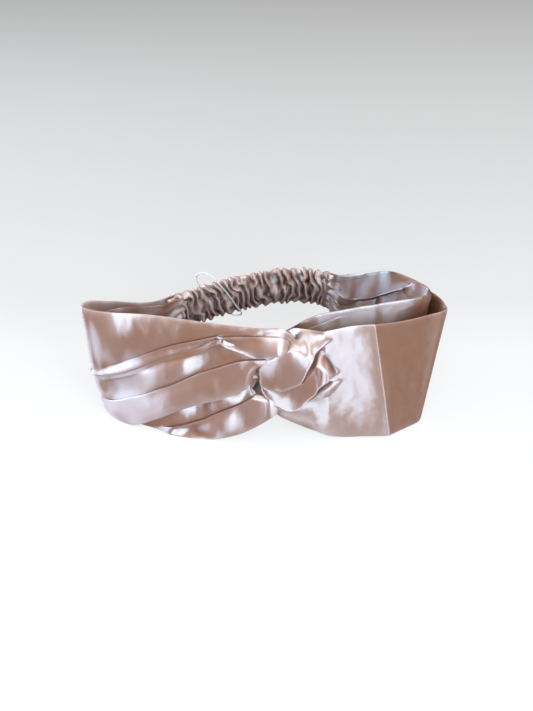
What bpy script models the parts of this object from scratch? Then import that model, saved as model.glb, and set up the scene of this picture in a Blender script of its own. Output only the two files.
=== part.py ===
"""Knotted headband: two satin strips, each folded in half and hooked through the other at the front.

The folded ends of both strips close over the ends of a gathered casing, which holds a flat elastic.
Lengths are in metres. +Z is up and +X runs from the left strip to the right one. The knot faces -Y.
The band stands on its lower edge, with the origin under the middle of its outer box.
"""
import math

import bmesh
import bpy
import numpy as np

# The outer box of the band.
HALF_LENGTH = 0.1075        # from the middle to the fold at either end
HALF_DEPTH = 0.0548         # from the middle to the front of the band
BAND_WIDTH = 0.088          # width of a flattened strip, which is the height of the band

# The strips.
LEG_THICKNESS = 0.0022      # one flattened strip, both of its satin layers and the air between
FOLD_EDGE = 0.0012          # thickness where a strip is folded along its edge
LEG_SPACING = 0.0045        # between the middles of the left strip's outer and inner legs
PLEAT_DEPTH = 0.0009        # how far a pleat stands out of a leg where it is gathered
PLEATS = 3                  # pleats across a leg

# The knot: the left strip turns down through a bend, and the right strip turns round that bend.
PIVOT_X = 0.0055            # upright axis of the left strip's bend
PIVOT_Y = -0.0403
BUNDLE_RADIUS = 0.0052      # the left strip where it is gathered into a round bundle
BUNDLE_TOP = 0.070          # height of the upper bundle's middle
BUNDLE_FOOT = 0.024         # height of the lower bundle's middle
BEND_RADIUS = 0.009         # of the middle of the bundle, where it turns down and back
BEND_YAW = math.radians(30) # the bend's upright plane, turned from the band's long direction
KNOT_GAP = 0.0003           # between the two strips inside the knot
HOOK_THICKNESS = 0.005      # the right strip where it turns round the bundle
HOOK_FOOT = 0.036           # lower and upper edge of the right strip there
HOOK_TOP = 0.056

# The gathered casing and the elastic in it.
ELASTIC_WIDTH = 0.025
ELASTIC_THICKNESS = 0.0010
CASING_WALL = 0.0005
CASING_SLACK = 0.0020       # between each edge of the elastic and the casing
CASING_MIDDLE = 0.045       # height of the middle of the casing
SEAT_GAP = 0.0003           # between pieces that are sewn face to face
GATHERS = 22                # cross folds along the casing
GATHER_HEIGHT = 0.0040      # how far a cross fold makes the casing thicker
GATHER_SPREAD = 0.0007      # how far a cross fold makes the casing wider, at each edge
JOIN_LENGTH = 0.008         # of casing held between the two legs of a strip
LEFT_JOIN_X = -0.051        # plan of the casing's two ends
LEFT_JOIN_Y = 0.0245
RIGHT_JOIN_X = 0.047
RIGHT_JOIN_Y = 0.0435
LEFT_HANDLE_X = 0.031       # from each end of the casing to the handle of its curve
LEFT_HANDLE_Y = 0.0185
RIGHT_HANDLE_X = -0.025
RIGHT_HANDLE_Y = 0.0185

# The nylon loop that held the hang tag.
CORD_RADIUS = 0.00045
LOOP_KNOT_RADIUS = 0.0011
LOOP_KNOT_HEIGHT = 0.0345

# Places along each leg, from its join to the knot. Each row gives the plan of the lower edge and of
# the upper edge as shares of the half length and half depth, then both heights as shares of the width.
LEFT_OUTER = (
    ((-0.730, -0.060), (-0.750, 0.010), 0.0, 0.84),
    ((-0.850, -0.400), (-0.958, -0.400), 0.0, 1.0),
    ((-0.872, -0.600), (-0.976, -0.560), 0.0, 1.0),
    ((-0.820, -0.735), (-0.915, -0.650), 0.0, 1.0),
    ((-0.625, -0.895), (-0.635, -0.690), 0.13, 1.0),
    ((-0.400, -0.950), (-0.390, -0.790), 0.30, 0.99),
    ((-0.150, -0.925), (-0.150, -0.865), 0.43, 0.95),
)
LEFT_INNER = (
    ((-0.730, -0.060), (-0.750, 0.010), 0.01, 0.81),
    ((-0.850, -0.400), (-0.958, -0.400), 0.01, 0.95),
    ((-0.872, -0.600), (-0.976, -0.560), 0.01, 0.97),
    ((-0.820, -0.735), (-0.915, -0.650), 0.0, 0.97),
    ((-0.625, -0.895), (-0.635, -0.690), 0.0, 0.94),
    ((-0.400, -0.950), (-0.390, -0.790), 0.0, 0.75),
    ((-0.150, -0.925), (-0.150, -0.865), 0.08, 0.46),
)
RIGHT_OUTER = (
    ((0.715, 0.260), (0.755, 0.330), 0.0, 0.88),
    ((0.875, -0.290), (0.965, -0.210), 0.0, 0.95),
    ((0.910, -0.650), (0.990, -0.560), 0.0, 1.0),
    ((0.820, -0.830), (0.890, -0.700), 0.0, 1.0),
    ((0.575, -0.925), (0.580, -0.825), 0.0, 1.0),
    ((0.335, -0.940), (0.355, -0.912), 0.02, 0.99),
    ((0.185, -0.930), (0.190, -0.925), 0.125, 0.91),
    ((0.105, -0.905), (0.105, -0.905), 0.26, 0.78),
)
RIGHT_INNER = (
    ((0.630, 0.180), (0.650, 0.220), 0.01, 0.86),
    ((0.760, -0.150), (0.800, -0.070), 0.01, 0.98),
    ((0.820, -0.400), (0.900, -0.330), 0.0, 1.0),
    ((0.710, -0.565), (0.745, -0.455), 0.0, 1.0),
    ((0.445, -0.690), (0.430, -0.595), 0.0, 1.0),
    ((0.225, -0.740), (0.235, -0.745), 0.08, 0.97),
    ((0.125, -0.650), (0.125, -0.650), 0.28, 0.76),
)

# The loop's route, from its knot under the casing, up its inner face, over it and back: along the
# casing from the place where it crosses, out from the casing's middle as a share of the distance at
# which the cord lies on a gather, and the height.
LOOP_PLACE = 0.22           # share of the casing's run where the loop crosses
LOOP_ROUTE = (
    (0.005, 0.95, 0.0278), (0.009, 0.0, 0.0263), (0.012, -1.0, 0.0290),
    (0.008, -1.1, 0.0380), (0.002, -1.1, 0.0500), (-0.003, -1.2, 0.0600), (-0.007, -0.9, 0.0665),
    (-0.011, 0.0, 0.0680), (-0.014, 0.9, 0.0640), (-0.013, 1.25, 0.0560), (-0.006, 1.2, 0.0440),
)

BEND_STEPS = 7              # sections in a quarter or half turn
LEG_STEPS = 22              # sections along a leg
SIDE_POINTS = 13            # points across one face of a leg
GATHER_RISE = 14            # how late along a leg it thickens towards the knot

SATIN = (0.45, 0.28, 0.23)
ELASTIC_WHITE = (0.80, 0.78, 0.75)
NYLON_WHITE = (0.85, 0.85, 0.85)


def clear_scene():
    """Empty the scene."""
    for obj in list(bpy.data.objects):
        bpy.data.objects.remove(obj, do_unlink=True)


def make_material(name, colour, roughness):
    """Return a Principled material with one colour."""
    material = bpy.data.materials.new(name)
    material.use_nodes = True
    shader = material.node_tree.nodes["Principled BSDF"]
    shader.inputs["Base Color"].default_value = (*colour, 1.0)
    shader.inputs["Roughness"].default_value = roughness
    return material


def smooth_run(points, count):
    """Return count points, evenly spaced by distance, on a smooth curve through the given ones."""
    points = np.asarray(points, dtype=float)
    spans = np.linalg.norm(np.diff(points, axis=0), axis=1)
    knots = np.concatenate([[0], np.cumsum(spans)])
    slopes = np.gradient(points, knots, axis=0)
    result = []
    for place in np.linspace(0, knots[-1], count):
        span = min(int(np.searchsorted(knots, place, side="right")) - 1, len(spans) - 1)
        t = (place - knots[span]) / spans[span]
        result.append((2 * t ** 3 - 3 * t ** 2 + 1) * points[span]
                      + (t ** 3 - 2 * t ** 2 + t) * spans[span] * slopes[span]
                      + (3 * t ** 2 - 2 * t ** 3) * points[span + 1]
                      + (t ** 3 - t ** 2) * spans[span] * slopes[span + 1])
    return np.array(result)


def unit(vector):
    """Return a vector of length one."""
    return vector / np.linalg.norm(vector)


def casing_point(share):
    """Return the plan of the casing's middle and its outward direction, at a share of its run."""
    left, right = np.array((LEFT_JOIN_X, LEFT_JOIN_Y)), np.array((RIGHT_JOIN_X, RIGHT_JOIN_Y))
    ends = [left, left + (LEFT_HANDLE_X, LEFT_HANDLE_Y),
            right + (RIGHT_HANDLE_X, RIGHT_HANDLE_Y), right]
    rest = 1 - share
    weights = (rest ** 3, 3 * rest ** 2 * share, 3 * rest * share ** 2, share ** 3)
    place = sum(w * p for w, p in zip(weights, ends))
    slopes = (rest ** 2, 2 * rest * share, share ** 2)
    along = unit(sum(w * (b - a) for w, a, b in zip(slopes, ends, ends[1:])))
    return place, along, np.array((-along[1], along[0]))


def casing_length():
    """Return the length of the casing's run."""
    run = np.array([casing_point(share)[0] for share in np.linspace(0, 1, 61)])
    return np.linalg.norm(np.diff(run, axis=0), axis=1).sum()


def flat_casing_thickness():
    """Return the casing's thickness where it is pressed flat on the elastic."""
    return ELASTIC_THICKNESS + 2 * (SEAT_GAP + CASING_WALL)


def casing_width():
    """Return the height of the casing between its gathers."""
    return ELASTIC_WIDTH + 2 * (CASING_SLACK + CASING_WALL)


def section(low, high, along, thickness, pleat):
    """Return the closed outline of a leg: a flat band from its low edge to its high edge.

    The band's two faces share their pleats, and each folded edge keeps a small level face.
    """
    middle = (low + high) / 2
    across = (high - low) / 2
    normal = np.cross(across, along)
    normal = unit(np.array((normal[0], normal[1], 0)))
    outline = []
    for face, order in ((1, 1), (-1, -1)):
        for step in np.linspace(-1, 1, SIDE_POINTS)[::order]:
            place = math.sin(step * math.pi / 2)
            half = max(FOLD_EDGE, thickness * math.sqrt(1 - place ** 2)) / 2
            wave = pleat * math.cos(step * math.pi * PLEATS) * (1 - step ** 6)
            outline.append(middle + across * place + normal * (face * half + wave))
    return outline


def leg_rails(rows, join_share, join_side, spacing):
    """Return the low and high edge points of a leg, from its join to the last row before the knot.

    join_side is +1 where the leg's end lies outside the casing and -1 where it lies inside, and
    spacing moves the leg's middle out from the shared sheet.
    """
    depth = (flat_casing_thickness() + LEG_THICKNESS) / 2 + SEAT_GAP
    tuck = JOIN_LENGTH / casing_length()
    inward = 1 if join_share == 0 else -1
    rails = []
    for share in (join_share + inward * tuck, join_share):
        place, along, out = casing_point(share)
        plan = place + out * depth * join_side
        half = casing_width() / 2
        rails.append((*plan, CASING_MIDDLE - half, *plan, CASING_MIDDLE + half))
    box = np.array((HALF_LENGTH, HALF_DEPTH))
    for low_plan, high_plan, foot, top in rows:
        low_plan = np.array(low_plan) * box
        high_plan = np.array(high_plan) * box
        low = low_plan + (high_plan - low_plan) * foot
        high = low_plan + (high_plan - low_plan) * top
        rails.append((*low, foot * BAND_WIDTH, *high, top * BAND_WIDTH))
    rails = np.array(rails)
    for index in range(2, len(rails)):
        ahead = rails[min(index + 1, len(rails) - 1)] - rails[index - 1]
        for first in (0, 3):
            run = unit(ahead[first:first + 2])
            out = np.array((run[1], -run[0])) * (1 if join_share == 0 else -1)
            rails[index, first:first + 2] += out * spacing
    return rails


def arc(centre, first, second, radius, start, stop, count):
    """Return points on an arc in the plane of two unit vectors, from the start to the stop angle."""
    angles = np.linspace(start, stop, count)
    return [centre + radius * (math.cos(a) * first + math.sin(a) * second) for a in angles]


def left_bend():
    """Return the low and high edge points of the left strip's bend, from upper to lower bundle."""
    right = np.array((math.cos(BEND_YAW), math.sin(BEND_YAW), 0))
    up = np.array((0, 0, 1.0))
    rails = []
    for height, start, stop in ((BUNDLE_TOP - BEND_RADIUS, math.pi / 2, 0),
                                (BUNDLE_FOOT + BEND_RADIUS, 0, -math.pi / 2)):
        centre = np.array((PIVOT_X, PIVOT_Y, height)) - right * BEND_RADIUS
        inner = arc(centre, right, up, BEND_RADIUS - BUNDLE_RADIUS, start, stop, BEND_STEPS)
        outer = arc(centre, right, up, BEND_RADIUS + BUNDLE_RADIUS, start, stop, BEND_STEPS)
        rails += [(*a, *b) for a, b in zip(inner, outer)]
    return np.array(rails)


def right_bend():
    """Return the low and high edge points of the right strip's half turn round the bundle."""
    radius = BUNDLE_RADIUS + KNOT_GAP + HOOK_THICKNESS / 2
    left, front = np.array((-1.0, 0, 0)), np.array((0, -1.0, 0))
    centre = np.array((PIVOT_X, PIVOT_Y, 0))
    run = arc(centre, left, front, radius, math.pi / 2, -math.pi / 2, 2 * BEND_STEPS)
    return np.array([(*p[:2], HOOK_FOOT, *p[:2], HOOK_TOP) for p in run])


def strip_rings(outer, bend, inner, bend_thickness):
    """Return the sections of a whole strip: its outer leg, its bend in the knot and its inner leg."""
    outer_run = smooth_run(np.vstack([outer, bend[:2]])[:-1], LEG_STEPS)
    inner_run = smooth_run(np.vstack([inner, bend[-2:][::-1]])[:-1], LEG_STEPS)
    rails = np.vstack([outer_run[:-1], bend, inner_run[::-1][1:]])
    rails[:, [2, 5]] = rails[:, [2, 5]].clip(0, BAND_WIDTH)
    rise = np.linspace(0, 1, LEG_STEPS) ** GATHER_RISE
    gathered = np.concatenate([rise[:-1], np.ones(len(bend)), rise[::-1][1:]])
    middles = (rails[:, :3] + rails[:, 3:]) / 2
    runs = np.gradient(middles, axis=0)
    rings = []
    for rail, run, share in zip(rails, runs, gathered):
        thickness = LEG_THICKNESS + (bend_thickness - LEG_THICKNESS) * share
        pleat = PLEAT_DEPTH * 4 * share ** 0.25 * (1 - share ** 0.25)
        rings.append(section(rail[:3], rail[3:], unit(run), thickness, pleat))
    return rings


def loft(name, rings, ring_shaped=False):
    """Return an object whose faces join each section to the next, closed at its ends or onto itself.

    An end is closed by strips from one half of its outline to the other.
    """
    mesh = bmesh.new()
    rows = [[mesh.verts.new(point) for point in ring] for ring in rings]
    pairs = list(zip(rows, rows[1:]))
    if ring_shaped:
        pairs.append((rows[-1], rows[0]))
    else:
        for row in (rows[0], rows[-1]):
            for index in range(len(row) // 2 - 1):
                mesh.faces.new((row[index], row[index + 1], row[-2 - index], row[-1 - index]))
    for row, following in pairs:
        for index in range(len(row)):
            nearby = (index + 1) % len(row)
            mesh.faces.new((row[index], row[nearby], following[nearby], following[index]))
    bmesh.ops.triangulate(mesh, faces=mesh.faces[:])
    bmesh.ops.recalc_face_normals(mesh, faces=mesh.faces[:])
    data = bpy.data.meshes.new(name)
    mesh.to_mesh(data)
    mesh.free()
    return bpy.data.objects.new(name, data)


def make_left_strip():
    """Return the left strip, whose two legs meet in an upright bend."""
    outer = leg_rails(LEFT_OUTER, 0, 1, LEG_SPACING / 2)
    inner = leg_rails(LEFT_INNER, 0, -1, -LEG_SPACING / 2)
    inner = inner[:, [3, 4, 5, 0, 1, 2]]
    rings = strip_rings(outer, left_bend(), inner, 2 * BUNDLE_RADIUS)
    return loft("left_strip", rings)


def make_right_strip():
    """Return the right strip, whose two legs meet in a level bend round the left strip's bundle."""
    outer = leg_rails(RIGHT_OUTER, 1, 1, 0)
    inner = leg_rails(RIGHT_INNER, 1, -1, 0)
    rings = strip_rings(outer, right_bend(), inner, HOOK_THICKNESS)
    return loft("right_strip", rings)


def casing_outline(share, half_width, half_thickness):
    """Return the closed outline of the casing, or of its hollow, at a share of its run."""
    place, along, out = casing_point(share)
    middle = np.array((*place, CASING_MIDDLE))
    outward = np.array((*out, 0))
    up = np.array((0, 0, 1.0))
    outline = []
    for angle in np.linspace(0, 2 * math.pi, 12, endpoint=False) + math.pi / 12:
        side, height = math.cos(angle), math.sin(angle)
        side = math.copysign(abs(side) ** 0.2, side)
        height = math.copysign(abs(height) ** 0.7, height)
        outline.append(middle + outward * side * half_thickness + up * height * half_width)
    return outline


def casing_shares():
    """Return the shares of the casing's run that have a section: two for each cross fold."""
    tuck = JOIN_LENGTH / casing_length()
    return [0, *np.linspace(tuck, 1 - tuck, 2 * GATHERS + 1), 1]


def make_casing():
    """Return the gathered casing: an open tube pressed flat at both ends, with cross folds between."""
    outside, inside = [], []
    for index, share in enumerate(casing_shares()):
        fold = (index % 2 == 0) and 0 < share < 1
        half_thickness = (flat_casing_thickness() + (GATHER_HEIGHT if fold else 0)) / 2
        half_width = casing_width() / 2 + (GATHER_SPREAD if fold else 0)
        outside.append(casing_outline(share, half_width, half_thickness))
        inside.append(casing_outline(share, half_width - CASING_WALL, half_thickness - CASING_WALL))
    return loft("elastic_casing", outside + inside[::-1], ring_shaped=True)


def make_elastic():
    """Return the flat elastic that runs through the casing from end to end."""
    rings = []
    for share in casing_shares():
        place, along, out = casing_point(share)
        sides = [place + out * ELASTIC_THICKNESS / 2, place - out * ELASTIC_THICKNESS / 2]
        foot = CASING_MIDDLE - ELASTIC_WIDTH / 2
        top = CASING_MIDDLE + ELASTIC_WIDTH / 2
        rings.append([(*sides[0], foot), (*sides[0], top), (*sides[1], top), (*sides[1], foot)])
    return loft("flat_elastic", rings)


def gather_reach():
    """Return how far a gather stands out from the casing's middle, with the gap of a touching piece."""
    return (flat_casing_thickness() + GATHER_HEIGHT) / 2 + SEAT_GAP


def loop_knot_place():
    """Return the middle of the loop's knot, which lies on the casing's outer face."""
    place, along, out = casing_point(LOOP_PLACE)
    return np.array((*(place + out * (gather_reach() + LOOP_KNOT_RADIUS)), LOOP_KNOT_HEIGHT))


def loop_route():
    """Return the route of the tag loop round the casing, with both ends at the loop's knot."""
    place, along, out = casing_point(LOOP_PLACE)
    reach = gather_reach() + CORD_RADIUS
    route = [(*(place + along * a + out * b * reach), height) for a, b, height in LOOP_ROUTE]
    step = np.array((0, 0, LOOP_KNOT_RADIUS + SEAT_GAP))
    ends = (loop_knot_place() - step, loop_knot_place() + step)
    return smooth_run([ends[0], *route, ends[1]], 3 * len(route))


def make_tag_loop():
    """Return the loop's cord, a thin round tube."""
    curve = bpy.data.curves.new("tag_loop", "CURVE")
    curve.dimensions = "3D"
    curve.bevel_depth = CORD_RADIUS
    curve.bevel_resolution = 2
    curve.use_fill_caps = True
    route = loop_route()
    spline = curve.splines.new("POLY")
    spline.points.add(len(route) - 1)
    for point, place in zip(spline.points, route):
        point.co = (*place, 1.0)
    return bpy.data.objects.new("tag_loop", curve)


def make_loop_knot():
    """Return the small knot between the two ends of the loop's cord."""
    mesh = bmesh.new()
    bmesh.ops.create_icosphere(mesh, subdivisions=2, radius=LOOP_KNOT_RADIUS)
    for face in mesh.faces:
        face.smooth = True
    data = bpy.data.meshes.new("loop_knot")
    mesh.to_mesh(data)
    mesh.free()
    knot = bpy.data.objects.new("loop_knot", data)
    knot.location = loop_knot_place()
    return knot


def main():
    """Build every piece and place it in the band's collection."""
    clear_scene()
    satin = make_material("satin", SATIN, 0.35)
    woven = make_material("woven_elastic", ELASTIC_WHITE, 0.85)
    nylon = make_material("nylon", NYLON_WHITE, 0.30)
    collection = bpy.data.collections.new("knotted_headband")
    bpy.context.scene.collection.children.link(collection)
    pieces = (
        (make_left_strip(), satin),
        (make_right_strip(), satin),
        (make_casing(), satin),
        (make_elastic(), woven),
        (make_tag_loop(), nylon),
        (make_loop_knot(), nylon),
    )
    for piece, material in pieces:
        piece.data.materials.append(material)
        collection.objects.link(piece)


main()
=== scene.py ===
# %% [markdown]
# # A knotted satin headband
# Two wide strips of satin are each folded in half, hooked through each other at the front and sewn,
# at the back, over the ends of a gathered casing with elastic in it. The lesson builds the folded
# cloth as skins over drawn crease lines, because a crease that is drawn stays where it is
# wanted, while a simulated one falls wherever the solver puts it.

# %% Load the imported frame
import bmesh
import bpy
import math
import numpy as np
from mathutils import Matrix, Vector


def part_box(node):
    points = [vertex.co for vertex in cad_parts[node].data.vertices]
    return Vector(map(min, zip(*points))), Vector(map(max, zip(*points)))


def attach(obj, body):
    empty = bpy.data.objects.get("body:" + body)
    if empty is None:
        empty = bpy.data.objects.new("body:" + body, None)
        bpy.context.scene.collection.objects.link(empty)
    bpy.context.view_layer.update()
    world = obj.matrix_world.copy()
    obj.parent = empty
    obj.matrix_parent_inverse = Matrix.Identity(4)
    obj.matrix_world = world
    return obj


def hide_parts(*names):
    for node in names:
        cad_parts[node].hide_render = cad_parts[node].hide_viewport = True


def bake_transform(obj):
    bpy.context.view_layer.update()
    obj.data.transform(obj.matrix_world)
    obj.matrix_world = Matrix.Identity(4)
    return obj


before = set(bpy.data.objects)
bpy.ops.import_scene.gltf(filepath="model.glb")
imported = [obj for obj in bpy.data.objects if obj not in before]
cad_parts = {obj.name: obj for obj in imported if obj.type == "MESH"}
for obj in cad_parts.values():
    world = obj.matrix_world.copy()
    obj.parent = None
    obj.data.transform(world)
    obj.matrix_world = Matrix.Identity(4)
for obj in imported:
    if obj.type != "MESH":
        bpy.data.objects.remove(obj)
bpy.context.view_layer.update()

# %% [markdown]
# ## Measures
# Everything below is drawn in millimetres and turned to metres when a mesh is made. The casing and
# the elastic are read from the frame, so the cloth meets them wherever the frame puts them.

# %% Units and the boxes of the back pieces
MM = 0.001
FOOT_ROOM, PUFF_ROOM = 0.4, 3.4     # mm kept free below the casing and above it, for its puffs
casing_low, casing_high = (np.array(corner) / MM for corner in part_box("elastic_casing"))
elastic_low, elastic_high = (np.array(corner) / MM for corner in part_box("flat_elastic"))
CASING_FOOT, CASING_TOP = casing_low[2] + FOOT_ROOM, casing_high[2] - PUFF_ROOM
print("casing height", CASING_TOP - CASING_FOOT, "elastic width", elastic_high[2] - elastic_low[2])

# %% [markdown]
# ## Camera
# The headband stands on a table and is seen from the front and well above it. A slightly long lens
# keeps the two ends of the band in proportion.

# %% Camera
LENS = 41.07                # mm
CAMERA_PLACE = Vector((0.0015, -0.4026, 0.3762))
CAMERA_AIM = Vector((0.0015, -0.0208, 0.042))


def add_object(name, data):
    """Add an object of the given data to the scene."""
    thing = bpy.data.objects.new(name, data)
    bpy.context.scene.collection.objects.link(thing)
    return thing


camera = add_object("camera", bpy.data.cameras.new("camera"))
camera.data.lens = LENS
camera.location = CAMERA_PLACE
look = CAMERA_AIM - CAMERA_PLACE
camera.rotation_euler = look.to_track_quat("-Z", "Y").to_euler()
bpy.context.scene.camera = camera
bpy.context.scene.view_settings.view_transform = "Standard"
print("camera looks down by", round(math.degrees(math.atan2(-look.z, look.y)), 1), "degrees")

# %% [markdown]
# ## Materials
# One function turns the written colours to linear light, one fills in a node's settings and sockets
# and one adds a node with them. Satin is a weave whose threads float over the surface: along the
# floats it shines like hair, so its highlight is long one way and short the other, and it changes
# from dull brown to a pale sheen as the cloth turns.

# %% Colour and node helpers
def linear(hex_colour):
    """Return a written sRGB colour as linear light with an alpha of one."""
    parts = [int(hex_colour[i:i + 2], 16) / 255 for i in (1, 3, 5)]
    return (*[p / 12.92 if p <= 0.04045 else ((p + 0.055) / 1.055) ** 2.4 for p in parts], 1.0)


def fill(node, values):
    """Set a node's settings and sockets by name or number, and link the outputs among the values."""
    for name, value in values.items():
        if isinstance(value, bpy.types.NodeSocket):
            node.id_data.links.new(value, node.inputs[name])
        elif isinstance(name, str) and hasattr(node, name):
            setattr(node, name, value)
        else:
            node.inputs[name].default_value = value


def add_node(tree, kind, values=None, output=0):
    """Add a node with its settings and links, and return one of its outputs."""
    node = tree.nodes.new(kind)
    fill(node, values or {})
    return node.outputs[output] if node.outputs else None


def new_material(name):
    """Return a material, its tree and its Principled shader."""
    material = bpy.data.materials.new(name)
    material.use_nodes = True
    tree = material.node_tree
    return material, tree, tree.nodes["Principled BSDF"]


print("middle grey is", round(linear("#808080")[0], 3), "in linear light")

# %% Polyester satin
# The threads lie some 0.05 mm apart, too fine to show, so their streaks are drawn this coarse.
STREAK_SPACING = 0.9        # mm between the fine streaks that the floats draw across the strip
STREAK_LENGTH = 14.0        # mm
STREAK_DEPTH = 0.02         # mm
WRINKLE_LENGTH = 9.0        # mm between the soft uneven places of the cloth
WRINKLE_DEPTH = 0.5         # mm
BLOTCH_SIZE = 6.25          # mm between the places where the dye took a little darker
ROSE, DARKER_ROSE = "#8B5536", "#7B492D"
# painted shade for the creases and a painted sheen for the sharp edges, both led by the fold mark
CREASE_SHADE, PAINTED_EDGE_SHEEN = "#2E1710", "#D9B9AC"


def make_satin():
    """Dusty rose polyester charmeuse: smooth filament floats, a narrow highlight along the strip."""
    material, tree, shader = new_material("charmeuse_satin")
    place = add_node(tree, "ShaderNodeUVMap", {"uv_map": "cloth"})
    streak_place = add_node(tree, "ShaderNodeMapping", {
        "Scale": (1000 / STREAK_SPACING, 1000 / STREAK_LENGTH, 1.0), "Vector": place})
    streak = add_node(tree, "ShaderNodeTexNoise", {
        "Scale": 1.0, "Detail": 2.0, "Roughness": 0.6, "Vector": streak_place})
    wrinkle = add_node(tree, "ShaderNodeTexNoise", {
        "Scale": 1000 / WRINKLE_LENGTH, "Detail": 1.5, "Roughness": 0.4, "Vector": place})
    blotch = add_node(tree, "ShaderNodeTexNoise", {
        "Scale": 1000 / BLOTCH_SIZE, "Detail": 3.0, "Vector": place})
    colour = add_node(tree, "ShaderNodeMix", {
        "data_type": "RGBA", 6: linear(ROSE), 7: linear(DARKER_ROSE), "Factor": blotch}, 2)
    mark = add_node(tree, "ShaderNodeAttribute", {"attribute_name": "fold"}, "Fac")
    # paint shade into the creases and a sheen onto the sharp edges, as the fold mark says
    for tone, gain in ((CREASE_SHADE, -1.0), (PAINTED_EDGE_SHEEN, 0.5)):
        share = add_node(tree, "ShaderNodeMath", {
            "operation": "MULTIPLY", "use_clamp": True, 0: mark, 1: gain})
        colour = add_node(tree, "ShaderNodeMix", {
            "data_type": "RGBA", 6: colour, 7: linear(tone), "Factor": share}, 2)
    bump = add_node(tree, "ShaderNodeBump", {"Distance": WRINKLE_DEPTH * MM, "Height": wrinkle})
    bump = add_node(tree, "ShaderNodeBump", {
        "Distance": STREAK_DEPTH * MM, "Height": streak, "Normal": bump})
    threads = add_node(tree, "ShaderNodeTangent", {"direction_type": "UV_MAP", "uv_map": "cloth"})
    fill(shader, {"Base Color": colour, "Normal": bump, "Tangent": threads, "Roughness": 0.44,
                  "Anisotropic": 0.97, "Anisotropic Rotation": 0.25, "IOR": 2.3,
                  "Specular IOR Level": 1.0})
    return material


satin = make_satin()
print("satin streaks every", STREAK_SPACING, "mm")

# %% [markdown]
# ## Floor and light
# The floor is one large pale sheet. Seen straight from the camera or in a reflection it glows by a
# gradient over its own depth, and it still takes the shadow of the band. A wide soft source on the
# left draws the sheen on everything that turns left, and a top light fills the rest.

# %% Floor
FLOOR_SIZE = 6.0
SEEN_GLOW = 0.75            # share of the floor's own glow that the camera sees
MIRRORED_GLOW = 0.07        # and the share that a reflection sees, as on a floor lit from far off
SHADED_PAPER, PAPER = "#7A7A78", "#E4E4E2"
# depth in metres and colour of the glow there
FLOOR_GRADIENT = ((-0.06, "#FFFFFE"), (0.033, "#F8F8F7"), (0.09, "#EAEAE9"), (0.24, "#E0E0DF"),
                  (0.454, "#D6D6D5"), (0.79, "#B9B9B7"))


def make_floor_material():
    """Matt white paper whose own glow carries a grey to white gradient."""
    material, tree, shader = new_material("matt_paper")
    tree.nodes.remove(shader)
    place = add_node(tree, "ShaderNodeTexCoord", output="Object")
    depth = add_node(tree, "ShaderNodeSeparateXYZ", {"Vector": place}, "Y")
    first, last = FLOOR_GRADIENT[0][0], FLOOR_GRADIENT[-1][0]
    share = add_node(tree, "ShaderNodeMapRange", {"From Min": first, "From Max": last, "Value": depth})
    tone = add_node(tree, "ShaderNodeValToRGB", {"Fac": share})
    stops = tone.node.color_ramp.elements
    while len(stops) < len(FLOOR_GRADIENT):
        stops.new(0.5)
    for stop, (y, colour) in zip(stops, FLOOR_GRADIENT):
        stop.position = (y - first) / (last - first)
        stop.color = linear(colour)
    glow = add_node(tree, "ShaderNodeEmission", {"Color": tone})
    ray = add_node(tree, "ShaderNodeLightPath").node.outputs
    paper = add_node(tree, "ShaderNodeMix", {
        "data_type": "RGBA", 6: linear(SHADED_PAPER), 7: linear(PAPER), "Factor": ray["Is Camera Ray"]}, 2)
    lit = add_node(tree, "ShaderNodeBsdfDiffuse", {"Color": paper})
    mirrored = add_node(tree, "ShaderNodeMath", {
        "operation": "MAXIMUM", 0: ray["Is Glossy Ray"], 1: ray["Is Transmission Ray"]})
    mirrored = add_node(tree, "ShaderNodeMath", {
        "operation": "MULTIPLY", 0: mirrored, 1: MIRRORED_GLOW})
    share = add_node(tree, "ShaderNodeMath", {
        "operation": "MULTIPLY_ADD", 0: ray["Is Camera Ray"], 1: SEEN_GLOW, 2: mirrored})
    surface = add_node(tree, "ShaderNodeMixShader", {0: share, 1: lit, 2: glow})
    fill(tree.nodes["Material Output"], {"Surface": surface})
    return material


bpy.ops.mesh.primitive_plane_add(size=FLOOR_SIZE)
floor = bpy.context.active_object
floor.name = "floor"
floor.data.materials.append(make_floor_material())
print("floor", FLOOR_SIZE, "m wide")

# %% World and lamps
LIT_PLACE = Vector((0, -0.01, 0.045))
# name, place, size, power and colour of each soft rectangular lamp
LAMPS = (
    ("window_front", (-0.105, -0.79, 0.115), (0.33, 0.21), 6.0, "#D2E8FF"),
    ("window_left", (-0.80, -0.04, 0.135), (0.88, 0.25), 8.0, "#CBE2FF"),
    ("door_right", (0.42, -0.60, 0.42), (0.34, 0.40), 5.0, "#D2E8FF"),
    ("window_right", (0.92, 0.15, 0.30), (0.22, 0.30), 1.4, "#DCEBFF"),
    ("wall_left", (-0.80, 0.16, 0.42), (0.50, 0.34), 3.0, "#D2E8FF"),
    ("ceiling", (0.12, -0.30, 0.95), (1.2, 1.2), 11.0, "#F8F3F2"),
)
ROOM_LIGHT, ROOM_STRENGTH = "#E9E6E4", 0.15
world = bpy.data.worlds.new("room")
bpy.context.scene.world = world
world.use_nodes = True
fill(world.node_tree.nodes["Background"], {"Color": linear(ROOM_LIGHT), "Strength": ROOM_STRENGTH})
for name, place, size, power, colour in LAMPS:
    data = bpy.data.lights.new(name, "AREA")
    data.shape = "RECTANGLE"
    data.size, data.size_y = size
    data.energy = power
    data.color = linear(colour)[:3]
    lamp = add_object(name, data)
    lamp.location = place
    lamp.rotation_euler = (LIT_PLACE - Vector(place)).to_track_quat("-Z", "Y").to_euler()
print("lamps", [lamp[0] for lamp in LAMPS])

# %% [markdown]
# ## Curves, sections and skins
# A crease is a short list of places along the strip. It is read with a smooth curve, so the strip
# can be cut into as many sections as the cloth needs. A section is a loop of control points, up the
# outer face and down the inner one, smoothed by a cubic B-spline: it rounds each fold a little, as
# cloth does, and never overshoots.

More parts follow.
